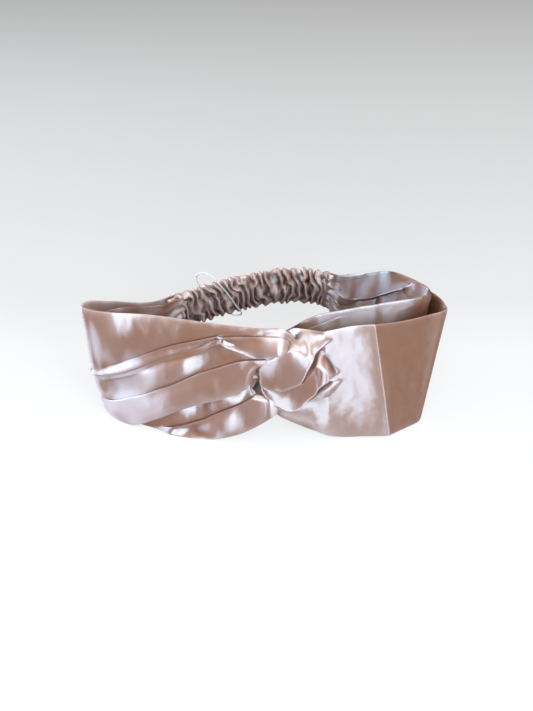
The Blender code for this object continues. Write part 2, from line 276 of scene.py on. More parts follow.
# %% Reading smooth curves
def read(rows, places):
    """Read smooth values from rows of (place, value, ...) at the places, and hold the end values."""
    rows = np.asarray(rows, dtype=float)
    keys, values = rows[:, 0], rows[:, 1:]
    places = np.clip(np.asarray(places, dtype=float), keys[0], keys[-1])
    spans = np.diff(keys)[:, None]
    steps = np.diff(values, axis=0) / spans
    slopes = np.zeros_like(values)
    slopes[0], slopes[-1] = steps[0], steps[-1]
    share = spans[1:] / (spans[:-1] + spans[1:])
    slopes[1:-1] = share * steps[:-1] + (1 - share) * steps[1:]
    index = np.clip(np.searchsorted(keys, places, side="right") - 1, 0, len(keys) - 2)
    gap = spans[index]
    t = (places - keys[index])[:, None] / gap
    result = ((2 * t ** 3 - 3 * t ** 2 + 1) * values[index]
              + (t ** 3 - 2 * t ** 2 + t) * gap * slopes[index]
              + (3 * t ** 2 - 2 * t ** 3) * values[index + 1]
              + (t ** 3 - t ** 2) * gap * slopes[index + 1])
    return result[:, 0] if result.shape[1] == 1 else result


def ramp(places, start, stop):
    """Return a share that eases from 0 at start to 1 at stop."""
    t = np.clip((np.asarray(places, dtype=float) - start) / (stop - start), 0, 1)
    return t * t * (3 - 2 * t)


def mix(first, second, share):
    """Return the blend of two values."""
    return first + (second - first) * share


def unit(vectors):
    """Return vectors of length one."""
    return vectors / np.linalg.norm(vectors, axis=-1, keepdims=True)


def runs_along(points):
    """Return how far along a line each of its points lies."""
    return np.concatenate([[0], np.cumsum(np.linalg.norm(np.diff(points, axis=0), axis=1))])


print("a ramp is at", [round(float(share), 2) for share in ramp((1, 2, 3), 0, 4)], "on its way")

# %% Sections
# height and depth of each point of a pleat, and whether its height counts in reaches instead of mm
FOLD = ((-1.3, 0.0, False), (-0.3, -0.02, False), (-0.05, -0.25, False), (-0.5, -0.5, True),
        (-0.55, -0.52, True), (-1.0, -0.60, True), (-0.55, -1.0, True), (-0.5, -1.0, True),
        (-1.3, -1.0, False))
FLAT_HALF = 1.6             # mm up and down that the same points spread over when the cloth is flat


def fold(crease, front, gap, reach, opened, lower_in_front, side=1):
    """Return the points of a knife pleat, going up the face, as (height, depth, samples).

    Its visible edge is at the crease. The panel in front lies gap ahead of the one behind, which
    runs reach behind the edge. At opened 0 the pleat is flat cloth, and side -1 is the inner face.
    """
    points = []
    order, sign = (FOLD, 1) if lower_in_front else (FOLD[::-1], -1)
    for (height, depth, in_reaches), level in zip(order, np.linspace(-FLAT_HALF, FLAT_HALF, len(FOLD))):
        height = sign * height * (reach if in_reaches else 1.0)
        points.append((crease + mix(level, height, opened), front + side * depth * gap * opened, 2))
    return points


def panel(foot, top, depth_foot, depth_top, count, puff=0.0, relief=0.0, samples=3):
    """Return evenly spaced points between two heights, crowned by puff and moved by relief."""
    points = []
    for step in range(1, count + 1):
        share = step / (count + 1)
        crown = 1 - (2 * share - 1) ** 2
        depth = mix(depth_foot, depth_top, share) + puff * crown + relief * crown ** 0.5
        points.append((mix(foot, top, share), depth, samples))
    return points


def edge(height, outer, inner, upper, back=0.7):
    """Return a rounded edge: over the top from the outer face, or under the foot to it."""
    sign = -1 if upper else 1
    depths = (outer, (outer + inner) / 2, inner)[::1 if upper else -1]
    return [(height + sign * back, depths[0], 2), (height, depths[1], 2),
            (height + sign * back, depths[2], 2)]


def spline_weights(samples):
    """Return the matrix that samples a closed cubic B-spline of control points."""
    count, rows = len(samples), []
    for index, steps in enumerate(samples):
        for t in np.arange(steps) / steps:
            row = np.zeros(count)
            basis = ((1 - t) ** 3, 3 * t ** 3 - 6 * t ** 2 + 4,
                     -3 * t ** 3 + 3 * t ** 2 + 3 * t + 1, t ** 3)
            for offset, share in zip((-1, 0, 1, 2), basis):
                row[(index + offset) % count] += share / 6
            rows.append(row)
    return np.array(rows)


def trace(points, size):
    """Return the smoothed values of a loop of control points, with size samples in every row."""
    values = [np.stack(np.broadcast_arrays(*point[:-1]), axis=-1) for point in points]
    count = max(len(value) for value in values if value.ndim > 1)
    values = np.array([np.broadcast_to(value, (count, value.shape[-1])) for value in values])
    smooth = np.tensordot(spline_weights([point[-1] for point in points]), values, axes=1)
    where = np.arange(size) * len(smooth) / size
    low = where.astype(int)
    share = (where - low)[:, None, None]
    return np.swapaxes(mix(smooth[low], smooth[(low + 1) % len(smooth)], share), 0, 1)


def cut(stretches):
    """Return the places to cut a strip at, from the start, end and count of each stretch."""
    return np.concatenate([np.linspace(*stretch) for stretch in stretches])


print("a pleat takes", len(FOLD), "control points")

# %% Marks of creases and edges
FOLD_SIZE = 0.26            # mm that a sharp fold stands out of the smoothed cloth
SMOOTHING = 0.6             # how far each round of smoothing moves a point to its neighbours


def mark_folds(data, rounds=5):
    """Store how sharply each point stands out of the cloth (above 0) or lies in a crease (below 0).

    The material paints shade into the creases and a sheen onto the sharp edges with it.
    """
    count = len(data.vertices)
    places = np.empty(count * 3)
    data.vertices.foreach_get("co", places)
    places = places.reshape(-1, 3)
    edges = np.empty(len(data.edges) * 2, dtype=int)
    data.edges.foreach_get("vertices", edges)
    first, last = edges.reshape(-1, 2).T
    shared = np.bincount(first, minlength=count) + np.bincount(last, minlength=count)
    smooth = places.copy()
    for _ in range(rounds):
        total = np.column_stack([np.bincount(first, smooth[last, axis], count)
                                 + np.bincount(last, smooth[first, axis], count) for axis in range(3)])
        smooth = mix(smooth, total / shared[:, None], SMOOTHING)
    normals = np.empty(count * 3)
    data.vertices.foreach_get("normal", normals)
    mark = np.sum((places - smooth) * normals.reshape(-1, 3), axis=1) / (FOLD_SIZE * MM)
    stored = data.attributes.get("fold") or data.attributes.new("fold", "FLOAT", "POINT")
    stored.data.foreach_set("value", np.clip(mark, -1, 1).astype(np.float32))


print("a fold is sharpest", FOLD_SIZE, "mm out of the smoothed cloth")

# %% Skins
RING = 180                  # points round every section
TOUCHING = 0.01             # mm under which two points of a closed ring are made one


def skin(name, rings, material, closed=False):
    """Return a closed mesh through rings of points in millimetres, with its cloth UV in metres.

    The two ends are capped, or joined to each other when the rings close to a ring themselves.
    """
    rings = np.asarray(rings)
    count, size = rings.shape[:2]
    stops = np.concatenate([rings, rings[:1]]) if closed else rings
    runs = runs_along(stops.mean(axis=1)) * MM
    wide = np.median(np.linalg.norm(rings - np.roll(rings, -1, axis=1), axis=2), axis=0)
    widths = np.concatenate([[0], np.cumsum(wide)]) * MM
    loops = [((row, column), (row, column + 1), (row + 1, column + 1), (row + 1, column))
             for row in range(len(stops) - 1) for column in range(size)]
    if not closed:
        loops += [((row, column), (row, column + 1), (row, size - 2 - column), (row, size - 1 - column))
                  for row in (0, count - 1) for column in range(size // 2 - 1)]
    data = bpy.data.meshes.new(name)
    data.from_pydata((rings.reshape(-1, 3) * MM).tolist(), [],
                     [[row % count * size + column % size for row, column in loop] for loop in loops])
    uvs = np.array([(runs[row], widths[column]) for loop in loops for row, column in loop])
    data.uv_layers.new(name="cloth").data.foreach_set("uv", uvs.astype(np.float32).ravel())
    mesh = bmesh.new()
    mesh.from_mesh(data)
    if closed:
        bmesh.ops.remove_doubles(mesh, verts=mesh.verts[:], dist=TOUCHING * MM)
    bmesh.ops.recalc_face_normals(mesh, faces=mesh.faces[:])
    mesh.to_mesh(data)
    mesh.free()
    data.shade_smooth()
    # the fold mark leads the satin's painted crease shade and edge sheen
    mark_folds(data)
    data.materials.append(material)
    print(name, len(data.polygons), "faces,", round(float(runs[-1] / MM)), "mm long")
    return add_object(name, data)


print("a section has", RING, "points")

# %% Leaning sheets, waves and gathers
BULGE_HEIGHT, BULGE_LIMIT = 55, 1.06        # mm up to where a bulge rounds the sheet, and past it
SLOPE_STEP = 0.4            # mm either way over which a sheet's direction is measured


def lean_point(table, places, heights, depths, side, bulge=None):
    """Return points over a leaning sheet: places along it, heights up it, depths out of it.

    A row of the table holds the place, the plan of the lower edge, the plan of the upper edge and
    the upper edge's height. side is +1 where the places run to the right and -1 to the left.
    """
    rows = read(table, places)
    step = read(table, places + SLOPE_STEP) - read(table, places - SLOPE_STEP)
    share = heights / rows[:, 4:5]
    if bulge is not None:
        round_share = np.sin(np.pi / 2 * np.clip(heights / BULGE_HEIGHT, 0, BULGE_LIMIT))
        share = mix(share, round_share, bulge[:, None])
    share = share[..., None]
    plan = mix(rows[:, None, 0:2], rows[:, None, 2:4], share)
    run = unit(mix(step[:, None, 0:2], step[:, None, 2:4], share))
    out = np.stack([run[..., 1], -run[..., 0]], axis=-1) * side
    return np.concatenate([plan + out * depths[..., None], heights[..., None]], axis=-1)


OCTAVES, SHORTER, FLATTER = 4, 0.72, 0.8    # sets of waves, and each one against the set before it


def ripple(places, heights, seed, length, tall, size):
    """Return soft seeded waves over a sheet, longer up the sheet than along it."""
    random = np.random.default_rng(seed)
    result = np.zeros(np.broadcast_shapes(places.shape, heights.shape))
    for octave in range(OCTAVES):
        turn = random.uniform(-0.5, 0.5)
        pace = 2 * np.pi / (length * SHORTER ** octave)
        rise = 2 * np.pi / (tall * FLATTER ** octave)
        phase = random.uniform(0, 2 * np.pi)
        bend = 1.3 * np.sin(rise * heights + random.uniform(0, 6.28))
        result = result + FLATTER ** octave * np.sin(
            pace * places + rise * turn * 2 * heights + phase + bend)
    return result * size / 2.5


JOIN_WAVES = 31             # radians of small gathers over a leg's height, which is five folds


def join_gathers(places, heights, foot, top, start, stop, size, drift=0.0):
    """Return the small gathers that draw a leg in towards its join."""
    share = (heights - foot[:, None]) / (top - foot)[:, None]
    waves = np.sin(share * JOIN_WAVES + drift * places[:, None])
    return waves * ramp(places, start, stop)[:, None] * size


def lay_leg(table, places, points, edges, gathers, waves, join, side, bulge=None, change=None):
    """Return a leg's rings: its section points smoothed, waved, gathered and laid on its sheet.

    edges holds the heights of the foot and the top. gathers holds the places between which the
    gathers grow, their height and their drift. join holds the places between which the leg moves
    out to the casing, and how far. change may edit the smoothed heights and depths.
    """
    values = trace(points, RING)
    if change is not None:
        values = change(values)
    heights, depths = values[..., 0], values[..., 1]
    depths = depths + join_gathers(places, heights, *edges, *gathers)
    depths = depths + ripple(places[:, None], heights, **waves)
    depths = depths + ramp(places, *join[:2])[:, None] * join[2]
    return lean_point(table, places, heights, depths, side, bulge)


print("a join has", round(JOIN_WAVES / (2 * math.pi)), "gathers")

# %% [markdown]
# ## The left strip
# Its outer leg is a wide sheet with three pressed pleats that run from the knot down to the turn at
# the left end. Below them the inner leg shows, with one more pleat. The sheet under the pleats is
# drawn first, as the plan of its lower and upper edge, and the pleats are then laid on it. In the
# knot the strip turns down through a bend in its own plane, so the same loop of points serves the
# outer leg, the bend and the inner leg.

# %% The sheet and the creases of the left strip
# place along the strip, plan of the lower edge, plan of the upper edge, height of the upper edge
LEFT_SHEET = (
    (-10, 10, -56.4, 10, -49.2, 87), (0, 0, -56.6, 0, -47.4, 85.6), (15, -15, -56.3, -15, -44.4, 84.6),
    (30, -30, -55.2, -30, -40.8, 84), (45, -45, -53.6, -45, -37.2, 83.9),
    (60, -59, -50.6, -60, -34.4, 84.3), (75, -73, -46, -76, -32.7, 84.7),
    (90, -87.5, -39.6, -92, -32.2, 85.4), (100, -98, -33, -101.8, -29.8, 85.5),
    (108, -102.5, -27, -107, -27.6, 86.4), (116, -101, -21, -105, -23, 86.5),
    (132, -89.5, -6.6, -92, -10, 77), (148, -75, 4.9, -77, 4, 65),
    (160, -65, 14.2, -66, 13.4, 58.8), (170, -57.6, 20.2, -57.6, 20.2, CASING_TOP),
    (174, -54.2, 22.4, -54.2, 22.4, CASING_TOP),
)
# place along the strip, height
CREASE_TOP = ((-10, 82), (-7, 82), (8, 80.5), (24, 77.3), (42, 70.5), (61, 63.1), (80, 52.6),
              (96, 41.4), (120, 38), (180, 50))
CREASE_MIDDLE = ((-10, 67), (0, 65), (6.4, 64.2), (11.5, 63.2), (28.5, 55.5), (38, 50.8),
                 (53.5, 41.4), (66, 34.7), (82.5, 25.1), (96, 17), (112, 14), (180, 40))
OUTER_FOOT = ((-10, 60.5), (0, 60), (4, 57), (6.5, 51), (8.7, 44.6), (14, 39.2), (25, 32.7),
              (39, 27), (51.6, 21.3), (69, 10.8), (87.5, 0.6), (96, 0), (126, 0), (134, 0),
              (150, 9), (162, 22), (170, CASING_FOOT), (174, CASING_FOOT))
FLAP_EDGE = ((-10, 67.5), (0, 66.6), (4.4, 65.6), (11, 67.6), (19.6, 70), (27, 72), (36, 66),
             (60, 56), (96, 34), (180, 47))
INNER_FOOT = ((-10, 23.5), (-6.7, 20.7), (8.7, 9.1), (20, 3.6), (30, 0.3), (40, 0), (126, 0),
              (134, 0), (150, 9), (162, 22), (170, CASING_FOOT), (174, CASING_FOOT))
INNER_TOP = ((-10, 43), (0, 43.5), (12, 46), (30, 58), (48, 71), (67, 79), (90, 80.5), (108, 80),
             (132, 75), (148, 64), (160, 58), (170, CASING_TOP), (174, CASING_TOP))
CREASE_LOW = ((-10, 40), (-3, 38.5), (3.5, 36.8), (14.3, 29.4), (27.4, 21.9), (36.6, 16.2),
              (46.1, 11.7), (59, 6.6), (66, 4.7), (90, 6), (142, 10), (180, 36))
LEG_LENGTH = 174.0
print("the left strip runs", LEG_LENGTH, "mm from the knot to its join")

# %% How far the left strip's cloth stands out
# place along the strip, how far the cloth stands out of its panel there
TOP_RELIEF = ((-10, 1.9), (6, 0.3), (32, 0.3), (50, 0), (66, 0.3), (78, 0.3), (92, 1.6), (104, 0),
              (174, 0))
UPPER_RELIEF = ((-10, 0), (12, -0.3), (26, -1.7), (32, -2), (36, -1.5), (48, 2), (52, 2.4),
                (64, 2.2), (69, 1.6), (84, -1.7), (90, -1.9), (97, -1.2), (105, 0), (116, 0), (174, 0))
FLAP_RELIEF = ((-10, 4), (4, 1.5), (22, -1.8), (30, -2.2), (50, 0), (174, 0))
MIDDLE_RELIEF = ((-10, 0), (6, 0.3), (14, 0), (40, 0.2), (60, 1), (72, 0.2), (86, -0.6), (98, 0),
                 (174, 0))
LOW_RELIEF = ((-10, 0.6), (4, 0.3), (12, -0.4), (15, -0.3), (26, 1.4), (30, 1.4), (45, -3.4),
              (50, -3), (61, 0.8), (66, 0.8), (76, -1), (84, 0), (174, 0))
RECESS_RELIEF = ((-10, 0), (0, 0.6), (8, -1.7), (12, -1.6), (23, 1), (27, 1), (37, -2.2),
                 (42, -2), (55, 1.4), (62, 0.8), (80, 0), (174, 0))
# start and end of the stretch over which each pleat is pressed flat, as places along the strip
TOP_SHUTS, MIDDLE_SHUTS, FLAP_SHUTS, LOW_SHUTS = (82, 100), (92, 108), (23, 28), (58, 70)
UPPER_SETTLES = (8, 46)     # where the panel above the pleats comes down to the sheet
RELIEF_STARTS = (0, 12)     # where pleats and reliefs have come out of the knot
TURN_STARTS, TURN_ENDS = (72, 98), (130, 165)       # the sheet is rounded outward between these
CLOSING = (146, 168)        # where the legs close over the casing
LEFT_GATHERS = (LEG_LENGTH - 6, 0.55, 0.02)     # end, height and drift of the gathers at the join
JOIN_DEPTH = 2.4            # mm from the casing's middle to the middle of each leg that closes over it
REACH = 1.2                 # mm that a pleat's cloth runs behind its edge where the pleat is closed


def left_turn(places):
    """Return how far the sheet is rounded outward at the left end."""
    return ramp(places, *TURN_STARTS) * (1 - ramp(places, *TURN_ENDS))


print("relief of the low band", LOW_RELIEF[6], "at its deepest")

# %% The outer leg of the left strip
LEFT_OUTER_CUTS = ((-9.5, 110, 170), (111.2, LEG_LENGTH, 58))
MIDDLE_GAP, FLAP_GAP, TOP_GAP = 1.9, 1.5, 1.8   # mm between the panels before and behind each pleat
OUTER_REACH = 3.8           # mm that the pleats' cloth runs further behind where they are open
FRONT, MIDDLE_LIFT = 0.3, 1.7       # mm, the face's depth, and how far the middle pleat lifts it
STEP_UP = 0.4               # mm, the least that a panel stands before the one below it
LEFT_BACK = -1.2            # mm, the depth of the inner face
LEFT_OUTER_GATHERS = (140, *LEFT_GATHERS)
LEFT_OUTER_WAVES = {"seed": 3, "length": 52, "tall": 90, "size": 0.22}
LEFT_OUTER_CLOSING = (*CLOSING, JOIN_DEPTH + 0.45)


def left_outer_rings():
    """Return the rings of the left strip's outer leg, from the knot to its join."""
    places = cut(LEFT_OUTER_CUTS)
    top, foot = read(LEFT_SHEET, places)[:, 4], read(OUTER_FOOT, places)
    crease_top, crease_middle = read(CREASE_TOP, places), read(CREASE_MIDDLE, places)
    flap = read(FLAP_EDGE, places)
    open_top, open_middle, open_flap = (
        1 - ramp(places, *span) for span in (TOP_SHUTS, MIDDLE_SHUTS, FLAP_SHUTS))
    near = ramp(places, *RELIEF_STARTS)
    # an open pleat lifts its panel by the layers of cloth that are folded under it
    middle = FRONT + MIDDLE_LIFT * open_middle
    lower = middle - MIDDLE_GAP * open_middle
    flap_front = mix(lower + STEP_UP, lower + 2.4, open_flap)
    upper = lower + STEP_UP + 2.0 * (1 - ramp(places, *UPPER_SETTLES)) - TOP_GAP * open_top
    upper_end = mix(lower + STEP_UP, lower + 0.9, open_flap)
    reach = REACH + OUTER_REACH * near
    points = edge(foot, middle * 0.7, LEFT_BACK, upper=False)
    points += panel(foot + 1, crease_middle - 1.4, middle, middle, 4, 0.6,
                    read(MIDDLE_RELIEF, places) * near)
    points += fold(crease_middle, middle, MIDDLE_GAP, reach, open_middle, True)
    points += panel(crease_middle, flap, lower, upper_end, 5, 0.3, read(UPPER_RELIEF, places) * near)
    points += fold(flap, flap_front, FLAP_GAP, reach, open_flap, False)
    points += panel(flap + 1, crease_top - 1.4, flap_front, flap_front, 3, 0.15,
                    read(FLAP_RELIEF, places))
    points += fold(crease_top, flap_front, TOP_GAP, 0.5 * reach, open_top, True)
    points += panel(crease_top, top - 1, upper, FRONT, 4, 0.2, read(TOP_RELIEF, places) * near)
    points += edge(top, FRONT, LEFT_BACK, upper=True)
    points += panel(top - 1, foot + 1, LEFT_BACK, LEFT_BACK, 11, -0.2)
    return lay_leg(LEFT_SHEET, places, points, (foot, top), LEFT_OUTER_GATHERS, LEFT_OUTER_WAVES,
                   LEFT_OUTER_CLOSING, -1, left_turn(places))


left_outer = left_outer_rings()
print("outer leg of", len(left_outer), "sections")

# %% The inner leg of the left strip
LEFT_INNER_CUTS = ((-9.5, 110, 135), (111.8, LEG_LENGTH, 45))
RECESS, RECESS_DEEPENS = -1.6, (-9, -2)     # mm, the depth of its face, and places where it doubles
LOW_OPENS, LOW_LIFT, LOW_GAP = (-9, -3), 2.3, 2.2   # where the low pleat opens, mm out and through it
INNER_REACH, INNER_REACHES = 2.8, (-8, 4)   # mm its cloth runs further behind, from these places on
LAYER = 1.4                 # mm through the cloth
TUCK, TUCK_STARTS, TUCK_ENDS = 2.6, (84, 104), (125, 150)   # mm it keeps behind the outer leg there
HOLLOW_DEPTH, HOLLOW_RIM, HOLLOW_ENDS = 9.0, (34, 38), (2, 9)   # mm, heights and places beside the knot
CLEAR_SECTION = 40          # a section clear of the knot, at whose highest point each loop starts
LEFT_INNER_GATHERS = (136, *LEFT_GATHERS)
LEFT_INNER_WAVES = {"seed": 8, "length": 44, "tall": 70, "size": 0.25}
LEFT_INNER_CLOSING = (*CLOSING, 3.45 - JOIN_DEPTH)


def left_inner_rings():
    """Return the rings of the inner leg, whose loop starts at its upper edge and runs down the face."""
    places = cut(LEFT_INNER_CUTS)
    top, foot = read(INNER_TOP, places), read(INNER_FOOT, places)
    crease = read(CREASE_LOW, places)
    opened = (1 - ramp(places, *LOW_SHUTS)) * ramp(places, *LOW_OPENS)
    recess = RECESS + RECESS * ramp(places, *RECESS_DEEPENS)
    front = recess + LOW_LIFT * opened
    reach = REACH + INNER_REACH * ramp(places, *INNER_REACHES)
    points = edge(foot, front, front - LAYER, upper=False)
    points += panel(foot + 1, crease - 1.4, front, front, 3, 0.5, read(LOW_RELIEF, places))
    points += fold(crease, front, LOW_GAP, reach, opened, True)
    points += panel(crease, top - 1, recess, recess, 8, 0.2, read(RECESS_RELIEF, places))
    points += edge(top, recess, recess - LAYER, upper=True)
    points += panel(top - 1, foot + 1, recess - LAYER, recess - LAYER, 12, -0.3)

    def turn_and_tuck(values):
        """Start the loop at its highest point, run it the other way and tuck it back where it hides."""
        first = int(np.argmax(values[CLEAR_SECTION, ::-1, 0]))
        values = np.roll(values[:, ::-1], -first, axis=1)
        heights, depths = values[..., 0], values[..., 1]
        tucked = TUCK * (ramp(places, *TUCK_STARTS) - ramp(places, *TUCK_ENDS))[:, None]
        hollow = HOLLOW_DEPTH * ramp(heights, *HOLLOW_RIM) * (1 - ramp(places, *HOLLOW_ENDS))[:, None]
        return np.stack([heights, depths - tucked - hollow], axis=-1)

    return lay_leg(LEFT_SHEET, places, points, (foot, top), LEFT_INNER_GATHERS, LEFT_INNER_WAVES,
                   LEFT_INNER_CLOSING, -1, left_turn(places), turn_and_tuck)


left_inner = left_inner_rings()
print("inner leg of", len(left_inner), "sections")

# %% The bend of the left strip
BEND_MIDDLE = 51.6          # height of the bend's middle
BEND_STEPS = 34
BEND_CREASES, BEND_CREASE_DEPTH = 9, 0.35   # soft creases round the bend, and their depth in mm
BEND_WIDTH = 0.42           # the bend is pressed narrower than a round one
BEND_DRIFT = 0.05           # and drifts back, behind the other strip


def left_bend_rings(start, end):
    """Return rings that carry the outer leg's last section through half a turn to the inner leg's."""
    rings = []
    first = np.stack([start[:, 0], start[:, 1], start[:, 2] - BEND_MIDDLE], axis=1)
    last = np.stack([end[:, 0], end[:, 1], BEND_MIDDLE - end[:, 2]], axis=1)
    for step in np.arange(1, BEND_STEPS) / BEND_STEPS:
        turn = step * np.pi
        share = float(ramp(step, 0, 1))
        local = mix(first, last, share)
        squeeze = mix(1.0, BEND_WIDTH, math.sin(turn))
        radius = local[:, 2] * squeeze
        creases = np.sin(np.linspace(0, 2 * np.pi, len(local)) * BEND_CREASES)
        creases = creases * BEND_CREASE_DEPTH * math.sin(turn)
        drift = BEND_DRIFT * radius * math.sin(turn) * (1 - share)
        rings.append(np.stack([local[:, 0] + radius * math.sin(turn), local[:, 1] + creases + drift,
                               BEND_MIDDLE + radius * math.cos(turn)], axis=1))
    return np.array(rings)


bend = left_bend_rings(left_outer[0], left_inner[0])
left_strip = skin("left_satin_strip", np.concatenate([left_outer[::-1], bend, left_inner]), satin)

# %% [markdown]
# ## The hollow beside the knot
# Where the strip dives behind the hook, two folds close over a deep pocket that hardly any light
# gets into. The mesh has that pocket, and the crease mark of the cloth is deepened in it, which
# paints shade into the pocket, so that it stays dark in any light.

# %% Shading the hollow
HOLLOW_MIDDLE, HOLLOW_RADIUS = np.array((-4.5, -46.0, 41.0)), 8.5      # mm
HOLLOW_CORE = 0.6           # share of the radius that is darkest


def shade_hollow(piece, middle, radius):
    """Paint shade into the cloth inside a deep hollow through its crease mark, fading out towards its rim.
    """
    count = len(piece.data.vertices)
    places = np.empty(count * 3)
    piece.data.vertices.foreach_get("co", places)
    far = np.linalg.norm(places.reshape(-1, 3) / MM - middle, axis=1)
    dark = 1 - ramp(far, HOLLOW_CORE * radius, radius)
    stored = piece.data.attributes["fold"].data
    marks = np.empty(count, dtype=np.float32)
    stored.foreach_get("value", marks)
    # painted shade: the mark is pulled to a full crease inside the hollow
    stored.foreach_set("value", mix(marks, -1.0, dark).astype(np.float32))
    print(piece.name, "shaded at", int((far < radius).sum()), "points beside the knot")


shade_hollow(left_strip, HOLLOW_MIDDLE, HOLLOW_RADIUS)

# %% [markdown]
# ## The right strip
# In the knot the strip is drawn through the bend of the other one, and its cloth bunches into two
# round lobes that fan out into a flat body. Six lines, from the lower edge to the upper one, carry
# that fan: each starts at the hook on the left and runs to the same line across the body.

# %% The fan of the knot
# x, y and height of points along each line
FAN = (
    ((-3.4, -47.5, 47), (-2.1, -49.8, 43), (0, -51.3, 35.7), (4.2, -52, 26.8), (8.5, -52.4, 20.4),
     (16.3, -52.6, 14.9), (22.3, -52.4, 11), (32.5, -51.8, 4.8)),
    ((-3.6, -47.5, 47.6), (-1.6, -50.4, 44), (1.8, -51, 37.3), (5.4, -51.3, 32.2), (9.7, -51.8, 28.8),
     (14.5, -52, 27), (22, -51.9, 27.6), (30, -51.6, 29.5)),
    ((-3.8, -47.5, 48.4), (-1, -50.8, 45.5), (4.2, -51.3, 42.8), (10, -51.4, 43.5), (16, -51.4, 46.4),
     (22.3, -51.2, 50.4), (28, -50.9, 53.8), (33, -50.5, 56.2)),
    ((-4, -47.5, 49.4), (-1.6, -50.6, 47.6), (4.2, -51.4, 45.6), (10, -51.5, 46.4), (16, -51.3, 49.8),
     (22.3, -51, 54.6), (28, -50.6, 59.4), (32, -50.2, 62.2)),
    ((-5.2, -47.6, 58), (-4.4, -50, 60.4), (2.4, -51.5, 66), (9.2, -52, 72), (15, -51.6, 76.5),
     (20, -50.2, 79.1), (26, -48.6, 80)),
    ((-5.4, -47, 59.5), (-4.2, -49.5, 60.6), (2.4, -50.8, 66.2), (9.2, -51, 72), (15, -50.4, 76.2),
     (16, -49.4, 79.8), (13.4, -48.8, 83.4), (15.8, -48.2, 85), (24, -47.8, 85.2)),
)
FAN_SHARES = (0, 0.343, 0.672, 0.75, 0.93, 1)        # where each line crosses the body's height
FAN_CLIMBS = (0, 0.10, 0.06, 0.055, 0.01, 0)         # and the share of it that it climbs on the way
CLIMBING = (-14, 40)        # places between which the lines climb
FAN_STEPS = 110
print("the fan has", len(FAN), "lines of", FAN_STEPS, "points")

# %% The body of the right strip
# place along the body, plan of the lower edge, plan of the upper edge, height of the upper edge
RIGHT_SHEET = (
    (0, 41.5, -52.9, 34.3, -51.2, 86.4), (8, 51, -52.5, 41.3, -51.2, 88.3),
    (16, 60.5, -52, 48.1, -51.2, 90.1), (31.6, 78, -51.3, 60.9, -51.1, 91.4),
    (33, 79.5, -51.1, 62, -51, 91.4), (34.4, 80.6, -50.4, 63.4, -50.4, 91.1),
    (48, 88.9, -45.5, 80, -42.4, 87.2), (60, 96.2, -41.1, 95, -35, 85.4),
    (68, 99.8, -38.4, 104.6, -30.8, 85.2), (72, 100.6, -36.4, 107.4, -28.6, 85.4),
    (77, 99.8, -32, 106.8, -24.4, 85.6), (90, 95.5, -18.5, 103.5, -13, 84),
    (108, 89, -3, 95, 1.5, 80), (130, 76.9, 14.6, 81, 18.5, 76),
    (152, 60.5, 31, 62, 33, 67), (168, 47.2, 43.4, 47.2, 43.4, CASING_TOP),
    (176, 40.5, 47.6, 40.5, 47.6, CASING_TOP),
)
RIGHT_FOOT = ((0, 1.5), (3, 0.8), (8, 0.1), (12, 0), (20, 0), (104, 0), (112, 0), (130, 1),
              (152, 16), (168, CASING_FOOT), (176, CASING_FOOT))
RIGHT_LENGTH = 176.0


def body_lines(places):
    """Return the six lines over the body and the back of the outer leg."""
    rows = read(RIGHT_SHEET, places)
    foot = read(RIGHT_FOOT, places)
    lines = []
    for share, climb in zip(FAN_SHARES, FAN_CLIMBS):
        height = mix(foot, rows[:, 4], share + climb * ramp(places, *CLIMBING))
        lean = (height / rows[:, 4])[:, None]
        lines.append(np.column_stack([mix(rows[:, 0:2], rows[:, 2:4], lean), height]))
    return np.array(lines)


def fan_lines():
    """Return the six lines over the knot as arrays of points, with as many points on each."""
    lines = []
    for points, line in zip(FAN, body_lines((0.0, 6.0))):
        route = np.array([*points, *line])
        far = runs_along(route)
        lines.append(read(np.column_stack([far, route]), np.linspace(0, far[-2], FAN_STEPS)))
    return np.array(lines)


print("the right strip runs", RIGHT_LENGTH, "mm from the fan to its join")

# %% The folds beside the knot
# x, and the heights of the lower and the upper edge of each fold that lies on the fan
UPPER_LOBE = ((-4, 49, 57.5), (-2, 45.2, 61.5), (4.2, 44.7, 68), (9.5, 44.8, 73.3),
              (15.9, 48.6, 79.5), (22.2, 54, 85.5), (25.4, 62.4, 86.5), (29.8, 69.9, 86),
              (33, 74.5, 85), (36, 77.5, 84), (40, 80.5, 83))
LOWER_LOBE = ((-3, 44, 45), (-1.2, 41.6, 43.9), (1.8, 36.8, 43.2), (5.4, 31.7, 42.9),
              (9.7, 28.3, 43.6), (14.5, 26.2, 46.2), (19.9, 28.2, 50.8), (22.4, 31, 54.6),
              (25.2, 36.5, 62.2), (28.3, 40.1, 67.6), (30.3, 42, 70.8), (33.2, 44.9, 72.5),
              (37.4, 50, 67), (40.6, 53, 61.5), (44, 54.5, 58.5))
CORNER_FOLD = ((18, 26.5, 28), (24.5, 31, 34.4), (31, 32, 40.2), (36.6, 35.4, 46.6), (41.2, 40.5, 50.6),
               (46.3, 48.5, 52.2), (49, 51.5, 52.6))
HEM_FOLD = ((-2, 42, 43), (0, 37, 39.6), (5.4, 29.8, 32.4), (9.7, 26.4, 29), (14.5, 25.4, 26.8),
            (18, 26, 26.6))
